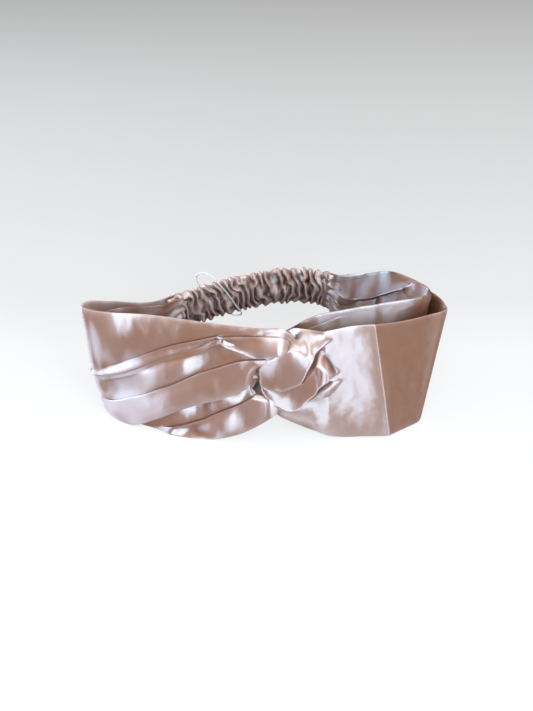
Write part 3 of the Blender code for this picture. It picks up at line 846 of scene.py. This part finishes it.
# x, and how far each fold stands out
UPPER_RISE = ((-4, 0), (-2, 0.8), (2, 3), (6, 4.6), (10, 5.4), (16, 6.5), (22, 7.6), (27, 8.4), (30, 8.3),
              (33, 6.8), (36, 4), (39, 1.6), (42, 0.4), (45, 0), (60, 0))
LOWER_RISE = ((-3, 0), (-1, 0.2), (2, 1), (6, 1.9), (10, 2.8), (16, 4), (22, 5.4), (28, 7), (33, 8),
              (36, 7.4), (39, 5.4), (42, 2.8), (45, 1), (48, 0.2), (51, 0), (60, 0))
CORNER_RISE = ((17, 0), (22, 3), (28, 4.4), (34, 4.4), (40, 3.2), (44, 1.6), (48, 0), (60, 0))
HEM_RISE = ((-2, 0), (0, 1.2), (6, 1.8), (12, 1.6), (17, 0), (60, 0))
# edges, rise, and for the lower and the upper bank its first and last width and the x between them
KNOT_FOLDS = (
    (UPPER_LOBE, UPPER_RISE, (0.8, 2.6, 20, 25), (1.4, 14, 13, 25)),
    (LOWER_LOBE, LOWER_RISE, (1.2, 6, 30, 42), (0.9, 7, 19, 26)),
    (CORNER_FOLD, CORNER_RISE, (3, 9, 20, 34), (1.4, 4.5, 36, 46)),
    (HEM_FOLD, HEM_RISE, (0.7, 0.7, 0, 1), (1.0, 1.0, 0, 1)),
)
BANK_POWER = 0.6            # below one a bank is steep at its foot and round at its top


def knot_folds(places, heights):
    """Return how far the folds beside the knot stand out of the cloth at x places and heights."""
    folds = []
    for edges, rise, low_bank, high_bank in KNOT_FOLDS:
        edges = read(edges, places.ravel()).reshape(*places.shape, 2)
        size = read(rise, places.ravel()).reshape(places.shape)
        soft_low, soft_high = (
            mix(*bank[:2], ramp(places, *bank[2:])) for bank in (low_bank, high_bank))
        bank = ramp((heights - edges[..., 0]) / soft_low, 0, 1) ** BANK_POWER
        folds.append(size * bank * (1 - ramp((heights - edges[..., 1]) / soft_high, -1, 0)))
    return np.max(folds, axis=0)


print("tallest fold", max(rise for _, rise in UPPER_RISE), "mm")

# %% The outer leg of the right strip
BODY_CUTS = ((0.6, 12, 20), (12.8, 28, 16), (29, 38, 22), (39.2, 66, 24), (67, 80, 18),
             (81.5, RIGHT_LENGTH, 62))
FAN_START, FAN_CLEAR = -45, -38     # the fan's first place, and where its cloth is clear of the hook
CURL, CURL_ENDS = 1.6, (-16, -7)    # mm that the upper edge curls back, and places where it flattens
FAN_PANELS = (6, 6, 2, 5, 1)        # points across the cloth between each two lines of the fan
HOOK_THICK, BODY_THICK = 2.6, 1.5   # mm through the bunched cloth and through the flat cloth
FOLDS_END = 16              # place past which no fold of the knot reaches
EDGE_MARK = 0.3             # front mark of the points at an edge: it is 1 on the face, 0 on the back
MARK_GAIN, MARK_CUT = 1.6, 0.6      # with these the mark falls off faster past an edge
FIRST_INSET, LAST_SHARE = 0.06, 0.9     # where the face's first and last point lie in their panels
CURLED_PANEL = 4            # the uppermost panel, which carries the curl
BACK_SHARES = np.linspace(0.98, 0.03, 14)   # shares of the height of the points down the back
STRAIGHTER = 0.25           # how much straighter than the face the back is
RIGHT_OUTER_GATHERS = (132, 170, 0.55)
RIGHT_OUTER_WAVES = {"seed": 5, "length": 48, "tall": 110, "size": 0.06}
WAVES_START = (-20, 10)     # places between which the waves grow
RIGHT_CLOSING, RIGHT_OUTWARD = (146, 170), JOIN_DEPTH + 0.6     # places, and mm out to the casing


def right_outer_rings():
    """Return the rings of the right strip's outer leg, from the hook to its join."""
    places = cut(BODY_CUTS)
    lines = np.concatenate([fan_lines(), body_lines(places)], axis=1)
    along = np.concatenate([np.linspace(FAN_START, 0, FAN_STEPS), places])
    out = unit(np.cross(unit(np.gradient(lines.mean(axis=0), axis=0)), unit(lines[5] - lines[0])))
    knot = ramp(along, FAN_START, FAN_CLEAR)
    curled = knot * (1 - ramp(along, *CURL_ENDS))
    thick = mix(HOOK_THICK, BODY_THICK, knot)
    points = []

    def put(place, depth, front, samples):
        """Add a control point that lies depth out of the cloth at each place along the leg."""
        points.append((*(place + out * np.broadcast_to(depth, along.shape)[:, None]).T, front, samples))

    put(lines[0], -thick / 2, EDGE_MARK, 2)
    for index, count in enumerate(FAN_PANELS):
        for share in np.arange(count) / count + (FIRST_INSET if index == 0 else 0.0):
            back = -CURL * curled * (index == CURLED_PANEL)
            put(mix(lines[index], lines[index + 1], share), back, 1.0, 4)
    put(mix(lines[4], lines[5], LAST_SHARE), -CURL * curled, 1.0, 2)
    put(lines[5], -CURL * curled - thick / 2, EDGE_MARK, 2)
    level = (lines[:, :, 2] - lines[0, :, 2]) / np.maximum(lines[5, :, 2] - lines[0, :, 2], 1)
    for share in BACK_SHARES:
        inside = np.array([[np.interp(share, level[:, k], lines[:, k, axis]) for axis in range(3)]
                           for k in range(len(along))])
        straight = mix(lines[0], lines[5], share)
        put(mix(inside, straight, STRAIGHTER), -thick - curled, 0.0, 2)
    values = trace(points, RING)
    rings, front = values[..., :3], np.clip(values[..., 3] * MARK_GAIN - MARK_CUT, 0, 1)
    heights = rings[..., 2]
    folds = knot_folds(rings[..., 0], heights) * (along < FOLDS_END)[:, None]
    waves = ripple(np.broadcast_to(along[:, None], front.shape), heights, **RIGHT_OUTER_WAVES)
    waves = waves * ramp(along, *WAVES_START)[:, None] + folds * front
    foot, top = read(RIGHT_FOOT, along), read(RIGHT_SHEET, along)[:, 4]
    waves = waves + join_gathers(along, heights, foot, top, *RIGHT_OUTER_GATHERS)
    waves = waves + ramp(along, *RIGHT_CLOSING)[:, None] * RIGHT_OUTWARD
    return rings + out[:, None] * waves[..., None]


right_outer = right_outer_rings()
print("outer leg of", len(right_outer), "sections")

# %% The inner leg of the right strip
# place along the leg, plan of the lower edge, plan of the upper edge, height of the upper edge
INNER_SHEET = (
    (-6, 6, -38.6, 6, -40, 68), (0, 11, -38.6, 11, -41.5, 77), (7, 17.5, -39, 17.5, -41.8, 82.5),
    (14, 24.5, -39, 24.5, -40.5, 86.5), (36, 46, -37.5, 45.5, -34, 88),
    (52, 62, -34.5, 61.5, -29.5, 88), (72, 80, -29, 81.5, -24.5, 88),
    (86, 87, -25.2, 95, -20.4, 88), (92, 90.2, -21.8, 99.8, -17.6, 88),
    (96, 90.2, -17.5, 99.4, -13.4, 88), (107, 86, -9, 90.8, -3.8, 88.8),
    (124, 73.5, 3.5, 76.2, 5.6, 88.4), (136, 65.8, 12, 67.5, 14, 81),
    (152, 57, 25, 57.3, 25.2, 70), (164, 50.6, 35.5, 50.6, 35.5, 62.5),
    (173, 46.3, 42.3, 46.3, 42.3, CASING_TOP), (181, 40.6, 47.4, 40.6, 47.4, CASING_TOP),
)
# place along the leg, height of the lower edge and of the creases of its two facets and its pleat
INNER_RIGHT_FOOT = ((-6, 40), (0, 32), (7, 20), (14, 9), (24, 1.5), (36, 0), (44, 0), (116, 0),
                    (124, 0), (136, 3), (152, 15), (164, 26), (173, CASING_FOOT), (181, CASING_FOOT))
FACET_FAR = ((-6, 66), (104, 86.5), (107, 85), (118, 78), (132, 66), (146, 57), (160, 50), (181, 52))
FACET_NEAR = ((-6, 64), (100, 70), (118, 80), (124, 83), (132, 71), (146, 53), (160, 43), (181, 45))
FAN_PLEAT = ((-6, 62), (0, 68), (10, 77.5), (22, 82.5), (40, 84), (181, 56))
INNER_LENGTH = 181.0
RIGHT_INNER_CUTS = ((-4, 80, 100), (80.8, 100, 26), (101, INNER_LENGTH, 64))
RIGHT_INNER_BACK = -1.5     # mm, the depth of the leg's far face
FACET_ROOM = 2.5            # mm that the facets keep below the upper edge and apart
# places between which each opens, places between which it closes, and how many mm it stands out
PLEAT_SPAN, PLEAT_OUT = ((-3, 4), (22, 40)), 1.2
FAR_SPAN, FAR_OUT = ((107, 112), (150, 165)), 2.4
NEAR_SPAN, NEAR_OUT = ((124, 128), (162, 176)), 2.6
PLEAT_FOLD, FAR_FOLD, NEAR_FOLD = (1.4, 2.0), (2.2, 2.5), (2.4, 3.0)    # mm, gap and reach of each
RIGHT_INNER_GATHERS = (150, 176, 0.5)
RIGHT_INNER_WAVES = {"seed": 12, "length": 30, "tall": 90, "size": 0.3}
RIGHT_INNER_CLOSING = (150, 174, 0.9 - JOIN_DEPTH)


def right_inner_rings():
    """Return the rings of the inner leg, from behind the knot to its join."""
    places = cut(RIGHT_INNER_CUTS)
    back = RIGHT_INNER_BACK
    top, foot = read(INNER_SHEET, places)[:, 4], read(INNER_RIGHT_FOOT, places)
    pleat = read(FAN_PLEAT, places)
    open_fan, open_far, open_near = (ramp(places, *opens) * (1 - ramp(places, *closes))
                                     for opens, closes in (PLEAT_SPAN, FAR_SPAN, NEAR_SPAN))
    far = np.minimum(read(FACET_FAR, places), top - FACET_ROOM)
    near = np.minimum(read(FACET_NEAR, places), far - FACET_ROOM)
    points = edge(foot, 0, back, upper=False)
    points += panel(foot + 1, pleat - 1.4, 0, open_fan, 8, 0.3)
    points += fold(pleat, PLEAT_OUT * open_fan, *PLEAT_FOLD, open_fan, True)
    points += panel(pleat, top - 1, 0, 0, 2)
    points += edge(top, 0, back, upper=True)
    near_back, far_back = back - NEAR_OUT * open_near, back - FAR_OUT * open_far
    facets = panel(foot + 1, near, near_back, near_back, 6, -0.2)
    facets += fold(near, near_back, *NEAR_FOLD, open_near, True, side=-1)
    facets += panel(near, far, back, far_back, 3, -0.2)
    facets += fold(far, far_back, *FAR_FOLD, open_far, True, side=-1)
    facets += panel(far, top - 1, back - 0.5 * open_far, back, 3)
    points += facets[::-1]
    return lay_leg(INNER_SHEET, places, points, (foot, top), RIGHT_INNER_GATHERS, RIGHT_INNER_WAVES,
                   RIGHT_INNER_CLOSING, 1)


right_inner = right_inner_rings()
print("inner leg of", len(right_inner), "sections")

# %% The hook between the legs of the right strip
HOOK_STEPS = 26
HOOK_KEYS = (0, 0.12, 0.5, 0.74, 0.92, 1)       # shares of the way at which a section is given
HOOK_TURN = 0.35            # radians that the two given ellipses are turned on, against twisting
AHEAD = 2                   # sections inside the fan from which the hook takes its way in
BEHIND = 3                  # and inside the inner leg, its way out
# middle of each ellipse of bunched cloth, its reach by depth, and its half height
HOOK_ELLIPSES = (((-6.4, -45.6, 50.6), (-2.4, 0, 0), 12),
                 ((1.6, -39.2, 52.5), (-0.6, -1.6, 0), 11.5))


def hook_rings(front, back):
    """Return rings that lead the strip from the fan round behind the other strip to its inner leg.

    The front ring is turned over on the way, so that its outer face stays outside the hook.
    """
    size = front.shape[1]
    angles = np.linspace(0, 2 * np.pi, size, endpoint=False) - np.pi / 2 - HOOK_TURN
    given = [np.array(middle) + np.outer(np.cos(angles), reach) + np.outer(np.sin(angles), (0, 0, tall))
             for middle, reach, tall in HOOK_ELLIPSES]
    sections = np.stack([front[AHEAD], front[0], *given, back[0], back[BEHIND]])
    rows = np.column_stack([HOOK_KEYS, sections.reshape(len(HOOK_KEYS), -1)])
    shares = np.linspace(HOOK_KEYS[1], HOOK_KEYS[-2], HOOK_STEPS)[1:-1]
    return read(rows, shares).reshape(len(shares), size, 3)


hook = hook_rings(right_outer, right_inner)
right_strip = skin("right_satin_strip", np.concatenate([right_outer[::-1], hook, right_inner]), satin)

# %% [markdown]
# ## The gathered casing
# The casing is a flat tube of satin, drawn up on its elastic. Its gathers follow a rule, so they are
# made by Geometry Nodes: waves run along the tube, lean a little, wander with a noise and are
# sharpened, because cloth on an elastic stands in round puffs with tight valleys between them.

# %% The line of the casing
LEFT_JOIN, RIGHT_JOIN = np.array((-51.0, 24.5)), np.array((47.0, 43.5))
LEFT_HANDLE, RIGHT_HANDLE = np.array((-20.0, 43.0)), np.array((22.0, 62.0))
CASING_START, CASING_END = -0.135, 1.03     # shares of that line at which the cloth begins and ends
CASING_THICK = 2.6
CASING_RINGS, CASING_SIDES = 620, 72
FLAT_POWER, SIDE_POWER = 0.55, 0.75         # below one a tube's faces are flat and its edges round


def casing_plan(shares):
    """Return the plan of the casing's middle line and its outward direction."""
    t = np.asarray(shares, dtype=float)[..., None]
    plan = ((1 - t) ** 3 * LEFT_JOIN + 3 * t * (1 - t) ** 2 * LEFT_HANDLE
            + 3 * t ** 2 * (1 - t) * RIGHT_HANDLE + t ** 3 * RIGHT_JOIN)
    step = (3 * (1 - t) ** 2 * (LEFT_HANDLE - LEFT_JOIN) + 6 * t * (1 - t) * (RIGHT_HANDLE - LEFT_HANDLE)
            + 3 * t ** 2 * (RIGHT_JOIN - RIGHT_HANDLE))
    run = unit(step)
    return plan, np.stack([-run[..., 1], run[..., 0]], axis=-1)


def flat_tube(shares, half_height, half_thick, middle, size):
    """Return rings of a flat upright tube along the casing's line."""
    plan, out = casing_plan(shares)
    angles = np.linspace(0, 2 * np.pi, size, endpoint=False) + np.pi / size
    rise = np.sign(np.sin(angles)) * np.abs(np.sin(angles)) ** FLAT_POWER
    side = np.sign(np.cos(angles)) * np.abs(np.cos(angles)) ** SIDE_POWER
    spot = plan[:, None] + out[:, None] * (side * half_thick)[None, :, None]
    level = np.broadcast_to(middle + rise * half_height, spot.shape[:2])
    return np.concatenate([spot, level[..., None]], axis=-1)


CASING_MIDDLE = (CASING_FOOT + CASING_TOP) / 2
CASING_HALF = (CASING_TOP - CASING_FOOT) / 2
shares = np.linspace(CASING_START, CASING_END, CASING_RINGS)
casing_rings = flat_tube(shares, CASING_HALF - 0.5, CASING_THICK / 2, CASING_MIDDLE, CASING_SIDES)
casing = skin("gathered_satin_casing", casing_rings, satin)
casing_runs = runs_along(casing_plan(shares)[0])
CASING_LENGTH = float(casing_runs[-1])
along = casing.data.attributes.new("along", "FLOAT", "POINT")
along.data.foreach_set("value", np.repeat(casing_runs, CASING_SIDES).astype(np.float32))
print("casing line", round(CASING_LENGTH, 1), "mm")

# %% The gathers as chains of arithmetic
GATHER_PITCH = 5.6          # mm from one puff to the next
GATHER_RISE = 3.8           # mm a puff stands out
GATHER_LEAN = -9.0          # mm a gather leans over the casing's height at the left end
GATHER_WANDER = 19.0        # mm that the noise can shift a gather
VALLEY_SHARPNESS = 0.8      # below one the valleys are tight and the puffs round
PUFF_SLANT = 0.34           # how much steeper one side of a puff is
START_REACH, STOP_REACH = 9.0, 7.0      # mm over which the gathers grow at the joins
# name, scale and detail of each noise: its features lie some 14 mm and 7 mm apart
GATHER_NOISES = (("noise", 70.0, 1.0), ("uneven", 150.0, 2.0))
# the result's name, what it starts from, and then operations with a number, a name or nothing
GATHER_CHAINS = (
    ("share", "height", "DIVIDE", MM, "SUBTRACT", CASING_MIDDLE, "DIVIDE", CASING_HALF),
    ("left", "run", "DIVIDE", -0.85 * CASING_LENGTH, "ADD", 1.0),
    ("lean", "share", "MULTIPLY", "left", "MULTIPLY", "Lean"),
    ("wander", "noise", "SUBTRACT", 0.5, "MULTIPLY", GATHER_WANDER),
    ("phase", "run", "SUBTRACT", "lean", "ADD", "wander", "DIVIDE", "Pitch", "MULTIPLY", math.pi),
    ("slant", "phase", "MULTIPLY", 2.0, "SINE", None, "MULTIPLY", PUFF_SLANT),
    ("every third", "phase", "MULTIPLY", 0.37, "SINE", None, "ABSOLUTE", None, "MULTIPLY", 0.45,
     "ADD", 0.65),
    ("wave", "phase", "SINE", None, "ABSOLUTE", None, "ADD", "slant", "MAXIMUM", 0.001,
     "POWER", VALLEY_SHARPNESS, "MULTIPLY", "every third"),
    ("rim", "share", "ABSOLUTE", None, "MINIMUM", 1.0, "POWER", 5.0, "MULTIPLY", -0.6, "ADD", 1.0),
    ("start", "run", "DIVIDE", START_REACH, "MINIMUM", 1.0),
    ("stop", "run", "SUBTRACT", CASING_LENGTH, "DIVIDE", -STOP_REACH, "MINIMUM", 1.0),
    ("offset", "uneven", "ADD", 0.35, "MULTIPLY", "Rise", "MULTIPLY", "rim", "MULTIPLY", "wave",
     "MULTIPLY", "start", "MULTIPLY", "stop", "MULTIPLY", MM),
)
print("about", round(CASING_LENGTH / GATHER_PITCH), "gathers in", len(GATHER_CHAINS), "chains")

# %% Beginning and ending a Geometry Nodes tree
def new_tree(name, inputs):
    """Return a geometry tree that has the given inputs beside its geometry, and its inputs' sockets."""
    tree = bpy.data.node_groups.new(name, "GeometryNodeTree")
    tree.interface.new_socket("Geometry", in_out="INPUT", socket_type="NodeSocketGeometry")
    for title, kind in inputs.items():
        tree.interface.new_socket(title, in_out="INPUT", socket_type="NodeSocket" + kind)
    tree.interface.new_socket("Geometry", in_out="OUTPUT", socket_type="NodeSocketGeometry")
    return tree, add_node(tree, "NodeGroupInput").node.outputs


def finish_tree(tree, geometry, material):
    """End a tree in real, covered geometry, because the export drops instances."""
    whole = add_node(tree, "GeometryNodeRealizeInstances", {0: geometry})
    whole = add_node(tree, "GeometryNodeSetMaterial", {"Geometry": whole, "Material": material})
    add_node(tree, "NodeGroupOutput", {0: whole})
    return tree


print("every tree ends in real geometry")

# %% Gathering the casing
def make_gather_tree():
    """Return a tree that draws the casing's tube into gathers."""
    tree, given = new_tree("gathers", {"Pitch": "Float", "Rise": "Float", "Lean": "Float",
                                       "Cloth": "Material"})
    place = add_node(tree, "GeometryNodeInputPosition")
    sockets = {name: given[name] for name in ("Pitch", "Rise", "Lean")}
    sockets["run"] = add_node(tree, "GeometryNodeInputNamedAttribute", {
        "data_type": "FLOAT", "Name": "along"})
    sockets["height"] = add_node(tree, "ShaderNodeSeparateXYZ", {"Vector": place}, "Z")
    for name, scale, detail in GATHER_NOISES:
        sockets[name] = add_node(tree, "ShaderNodeTexNoise", {
            "Scale": scale, "Detail": detail, "Vector": place})
    for name, first, *chain in GATHER_CHAINS:
        value = sockets[first]
        for operation, second in zip(chain[::2], chain[1::2]):
            values = {"operation": operation, 0: value}
            if second is not None:
                values[1] = sockets.get(second, second)
            value = add_node(tree, "ShaderNodeMath", values)
        sockets[name] = value
    normal = add_node(tree, "GeometryNodeInputNormal")
    offset = add_node(tree, "ShaderNodeVectorMath", {
        "operation": "SCALE", 0: normal, "Scale": sockets["offset"]})
    moved = add_node(tree, "GeometryNodeSetPosition", {
        "Geometry": given["Geometry"], "Offset": offset})
    return finish_tree(tree, moved, given["Cloth"])


def bake(piece, tree, values):
    """Run a tree on a piece with values by input name and keep the result as its plain mesh."""
    modifier = piece.modifiers.new("shape", "NODES")
    modifier.node_group = tree
    for item in tree.interface.items_tree:
        if item.in_out == "INPUT" and item.name in values:
            modifier[item.identifier] = values[item.name]
    graph = bpy.context.evaluated_depsgraph_get()
    data = bpy.data.meshes.new_from_object(piece.evaluated_get(graph), depsgraph=graph)
    piece.modifiers.remove(modifier)
    old, piece.data = piece.data, data
    data.name = piece.name
    bpy.data.meshes.remove(old)
    print(piece.name, "baked to", len(data.polygons), "faces")


bake(casing, make_gather_tree(),
     {"Pitch": GATHER_PITCH, "Rise": GATHER_RISE, "Lean": GATHER_LEAN, "Cloth": satin})
# the fold mark paints shade into the gathers' valleys and a sheen onto their ridges
mark_folds(casing.data, rounds=30)

# %% [markdown]
# ## The elastic
# A flat woven tape runs through the casing and is sewn in with the joins. It can't be seen here,
# but a reader who takes the casing off finds it, so it gets its ribs: rows of rubber cords that the
# weave covers. It is a thin closed strip along the casing's line, made by the casing's own helper,
# so the two stay together when that line is moved.

# %% Woven elastic
RIB_SPACING = 1.6           # mm between the rubber cords under the weave
RIB_HEIGHT = 0.09           # mm
TAPE_THICK = 0.84           # mm
WEAVE_GRAIN = 0.625         # mm from one thread of the weave to the next
WEAVE_DEPTH = 0.08          # mm
TAPE_RINGS, TAPE_SIDES = 120, 96


def make_grained(name, texture, settings, tones, values):
    """Return a material whose two close tones follow a fine texture, with its shader and texture."""
    material, tree, shader = new_material(name)
    place = add_node(tree, "ShaderNodeTexCoord", output="Object")
    grain = add_node(tree, texture, {**settings, "Vector": place}, "Fac")
    first, second = (linear(tone) for tone in tones)
    colour = add_node(tree, "ShaderNodeMix", {"data_type": "RGBA", 6: first, 7: second, "Factor": grain}, 2)
    fill(shader, {"Base Color": colour, **values})
    return material, shader, grain


def make_woven_elastic():
    """White knitted tape: matt, with ribs along it and a fine weave across."""
    material, shader, weave = make_grained(
        "woven_elastic_tape", "ShaderNodeTexNoise", {"Scale": 1000 / WEAVE_GRAIN, "Detail": 2.0},
        ("#E6E2DA", "#CFC9BE"), {"Roughness": 0.85})
    bump = add_node(material.node_tree, "ShaderNodeBump", {"Distance": WEAVE_DEPTH * MM, "Height": weave})
    fill(shader, {"Normal": bump})
    return material


shares = np.linspace(0.0, 1.0, TAPE_RINGS)
tape_half = (elastic_high[2] - elastic_low[2]) / 2 - 0.2
tape_rings = flat_tube(shares, tape_half, TAPE_THICK / 2, CASING_MIDDLE, TAPE_SIDES)
ribs = np.cos(tape_rings[..., 2] * 2 * np.pi / RIB_SPACING) * RIB_HEIGHT
plan, out = casing_plan(shares)
outward = np.sign(np.sum((tape_rings[..., :2] - plan[:, None]) * out[:, None], axis=2))
tape_rings[..., :2] += out[:, None] * (ribs * outward)[..., None]
elastic = skin("woven_elastic_tape", tape_rings, make_woven_elastic())

# %% [markdown]
# ## The tag loop
# A thin nylon cord once held the swing tag. It goes round the casing and its two ends meet in a
# small knot at the back. The cord is a tube along a smooth line, and the knot is a tube along a
# trefoil, which is what an overhand knot is when its ends are joined. A bevelled curve would give
# the same tubes, but the points of the line are needed as well, to measure the cord.

# %% A tube along a line
CORD_RADIUS = 0.45
KNOT_PLACE = 0.22           # share of the casing's run at which the knot lies
KNOT_HEIGHT = 34.5
KNOT_OUT = 4.5              # mm from the casing's middle to the middle of the knot


def tube(name, line, radius, sides, material, closed=False):
    """Return a round tube along a line in millimetres, with its ends closed unless it is a ring."""
    line = np.asarray(line, dtype=float)
    if closed:
        run = unit(np.roll(line, -1, axis=0) - np.roll(line, 1, axis=0))
    else:
        run = unit(np.gradient(line, axis=0))
    side = unit(np.cross(run[0], (0.3, 0.2, 1.0)))      # any side does, if it isn't along the line
    frames = []
    for step in run:
        side = unit(side - step * np.dot(side, step))
        frames.append((side, np.cross(step, side)))
    angles = np.linspace(0, 2 * np.pi, sides, endpoint=False)
    rings = np.array([spot + radius * (np.outer(np.cos(angles), a) + np.outer(np.sin(angles), b))
                      for spot, (a, b) in zip(line, frames)])
    return skin(name, rings, material, closed)


print("cord", 2 * CORD_RADIUS, "mm thick")

# %% The nylon loop and its knot
# along the casing, out from its middle, height
LOOP_ROUTE = ((5, 4.6, 27.6), (9, 0, 25.9), (12.5, -4.9, 29), (8.5, -5.3, 38), (2.5, -5.3, 50),
              (-3, -5, 59.5), (-7, -3.4, 65.6), (-11, 0, 68), (-14.5, 4.3, 64.5),
              (-13.5, 5.6, 56), (-6.5, 5.6, 44))
LOOP_STEPS, LOOP_SIDES = 150, 12
KNOT_STEPS, KNOT_SIDES = 90, 10
KNOT_ENDS = np.array((0, 0, 0.9))       # mm from the knot's middle to where the cord enters it
KNOT_SCALE, KNOT_RADIUS = 0.27, 0.34    # mm, the trefoil's unit and the cord pulled thin in it
NYLON_GRAIN = 1 / 2.4       # mm between the faint marks of the drawn filament


def make_nylon():
    """Thin white polyamide cord: smooth, a little clear, with a soft highlight."""
    return make_grained(
        "nylon_cord", "ShaderNodeTexNoise", {"Scale": 1000 / NYLON_GRAIN, "Detail": 1.0},
        ("#F1F2EE", "#E2E4E0"), {"Roughness": 0.35, "IOR": 1.53})[0]


nylon = make_nylon()
middle, out = (part[0] for part in casing_plan([KNOT_PLACE]))
run = np.array((out[1], -out[0]))
knot_middle = np.array((*(middle + out * KNOT_OUT), KNOT_HEIGHT))
route = [(*(middle + run * a + out * b), height) for a, b, height in LOOP_ROUTE]
route = np.array([knot_middle - KNOT_ENDS, *route, knot_middle + KNOT_ENDS])
far = runs_along(route)
loop_line = read(np.column_stack([far, route]), np.linspace(0, far[-1], LOOP_STEPS))
tag_loop = tube("nylon_tag_loop", loop_line, CORD_RADIUS, LOOP_SIDES, nylon)
turn = np.linspace(0, 2 * np.pi, KNOT_STEPS, endpoint=False)
trefoil = KNOT_SCALE * np.column_stack([
    np.sin(turn) + 2 * np.sin(2 * turn), -np.sin(3 * turn), np.cos(turn) - 2 * np.cos(2 * turn)])
knot_line = knot_middle + trefoil @ np.array(((*run, 0), (*out, 0), (0, 0, 1)))
tag_knot = tube("nylon_loop_knot", knot_line, KNOT_RADIUS, KNOT_SIDES, nylon, closed=True)

# %% [markdown]
# ## Stitches
# Each leg is sewn down over the end of the casing with two rows of lockstitch. One stitch is a
# short capsule, and Geometry Nodes lay copies of it along a line drawn on the cloth, each turned
# along it, so that a longer seam gets more stitches by itself.

# %% Laying stitches along a line
STITCH_PITCH = 2.4          # mm from one stitch to the next
STITCH_WIDTH = 0.42         # mm, thread seen on the cloth
STITCH_SHARE = 0.78         # share of the pitch that shows on the face


def make_stitch_tree():
    """Return a tree that lays stitches along the edges of a mesh line."""
    tree, given = new_tree("stitches", {"Pitch": "Float", "Width": "Float", "Thread": "Material"})
    line = add_node(tree, "GeometryNodeMeshToCurve", {0: given["Geometry"]})
    line = add_node(tree, "GeometryNodeResampleCurve", {
        "mode": "LENGTH", "Curve": line, "Length": given["Pitch"]})
    capsule = add_node(tree, "GeometryNodeMeshUVSphere", {"Segments": 8, "Rings": 6, "Radius": 0.5})
    along_line = add_node(tree, "GeometryNodeInputTangent")
    turned = add_node(tree, "FunctionNodeAlignRotationToVector", {"axis": "Z", "Vector": along_line})
    long = add_node(tree, "ShaderNodeMath", {
        "operation": "MULTIPLY", 0: given["Pitch"], 1: STITCH_SHARE})
    size = add_node(tree, "ShaderNodeCombineXYZ", {"X": given["Width"], "Y": given["Width"], "Z": long})
    laid = add_node(tree, "GeometryNodeInstanceOnPoints", {
        "Points": line, "Instance": capsule, "Rotation": turned, "Scale": size})
    return finish_tree(tree, laid, given["Thread"])


print("stitches every", STITCH_PITCH, "mm")

# %% Rows of stitches
STITCH_RINGS = (-6, -3)     # sections of a strip, counted from its end, that the rows run along
STITCH_LIFT = 0.1           # mm off the cloth
STITCH_INSET = 4            # points left free at either edge
PLY_SCALE = 900.0           # of the wave texture, whose bands then lie 0.35 mm apart, as the plies do


def make_thread():
    """Spun polyester sewing thread in the cloth's colour: matt, a little darker than the satin."""
    return make_grained(
        "polyester_thread", "ShaderNodeTexWave", {"Scale": PLY_SCALE, "Distortion": 1.0},
        ("#7E5545", "#A57C6B"), {"Roughness": 0.7})[0]


def stitch_line(rings, place):
    """Return points up the outer face of the ring at a place, lifted off the cloth."""
    ring = rings[place]
    top = int(np.argmax(ring[:, 2]))
    on_face = slice(STITCH_INSET, top - STITCH_INSET + 1)
    face = ring[on_face]
    step = np.gradient(rings[:, on_face], axis=0)[place]
    out = unit(np.cross(step, np.gradient(face, axis=0)))
    inside = ring[top + STITCH_INSET:].mean(axis=0) - face.mean(axis=0)
    return face - out * np.sign(out @ inside)[:, None] * STITCH_LIFT


def stitch_rows(name, rings, tree, thread):
    """Return the rows of stitches that close a strip's join."""
    points, edges = [], []
    for place in STITCH_RINGS:
        line = stitch_line(rings, place)
        edges += [(len(points) + k, len(points) + k + 1) for k in range(len(line) - 1)]
        points += (line * MM).tolist()
    data = bpy.data.meshes.new(name)
    data.from_pydata(points, edges, [])
    piece = add_object(name, data)
    bake(piece, tree, {"Pitch": STITCH_PITCH * MM, "Width": STITCH_WIDTH * MM, "Thread": thread})
    piece.data.shade_smooth()
    return piece


thread, stitches = make_thread(), make_stitch_tree()
left_stitches = stitch_rows("left_join_stitches", left_outer, stitches, thread)
right_stitches = stitch_rows("right_join_stitches", right_outer, stitches, thread)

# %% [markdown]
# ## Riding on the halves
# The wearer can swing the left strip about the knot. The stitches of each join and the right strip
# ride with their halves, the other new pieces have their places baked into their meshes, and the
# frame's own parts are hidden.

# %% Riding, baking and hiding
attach(left_stitches, "left_half")
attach(right_strip, "right_half")
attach(right_stitches, "right_half")
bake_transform(left_strip)
for piece in (casing, elastic, tag_loop, tag_knot):
    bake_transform(piece)
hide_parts("left_strip")
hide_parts("right_strip")
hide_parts("elastic_casing")
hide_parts("flat_elastic")
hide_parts("tag_loop")
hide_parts("loop_knot")
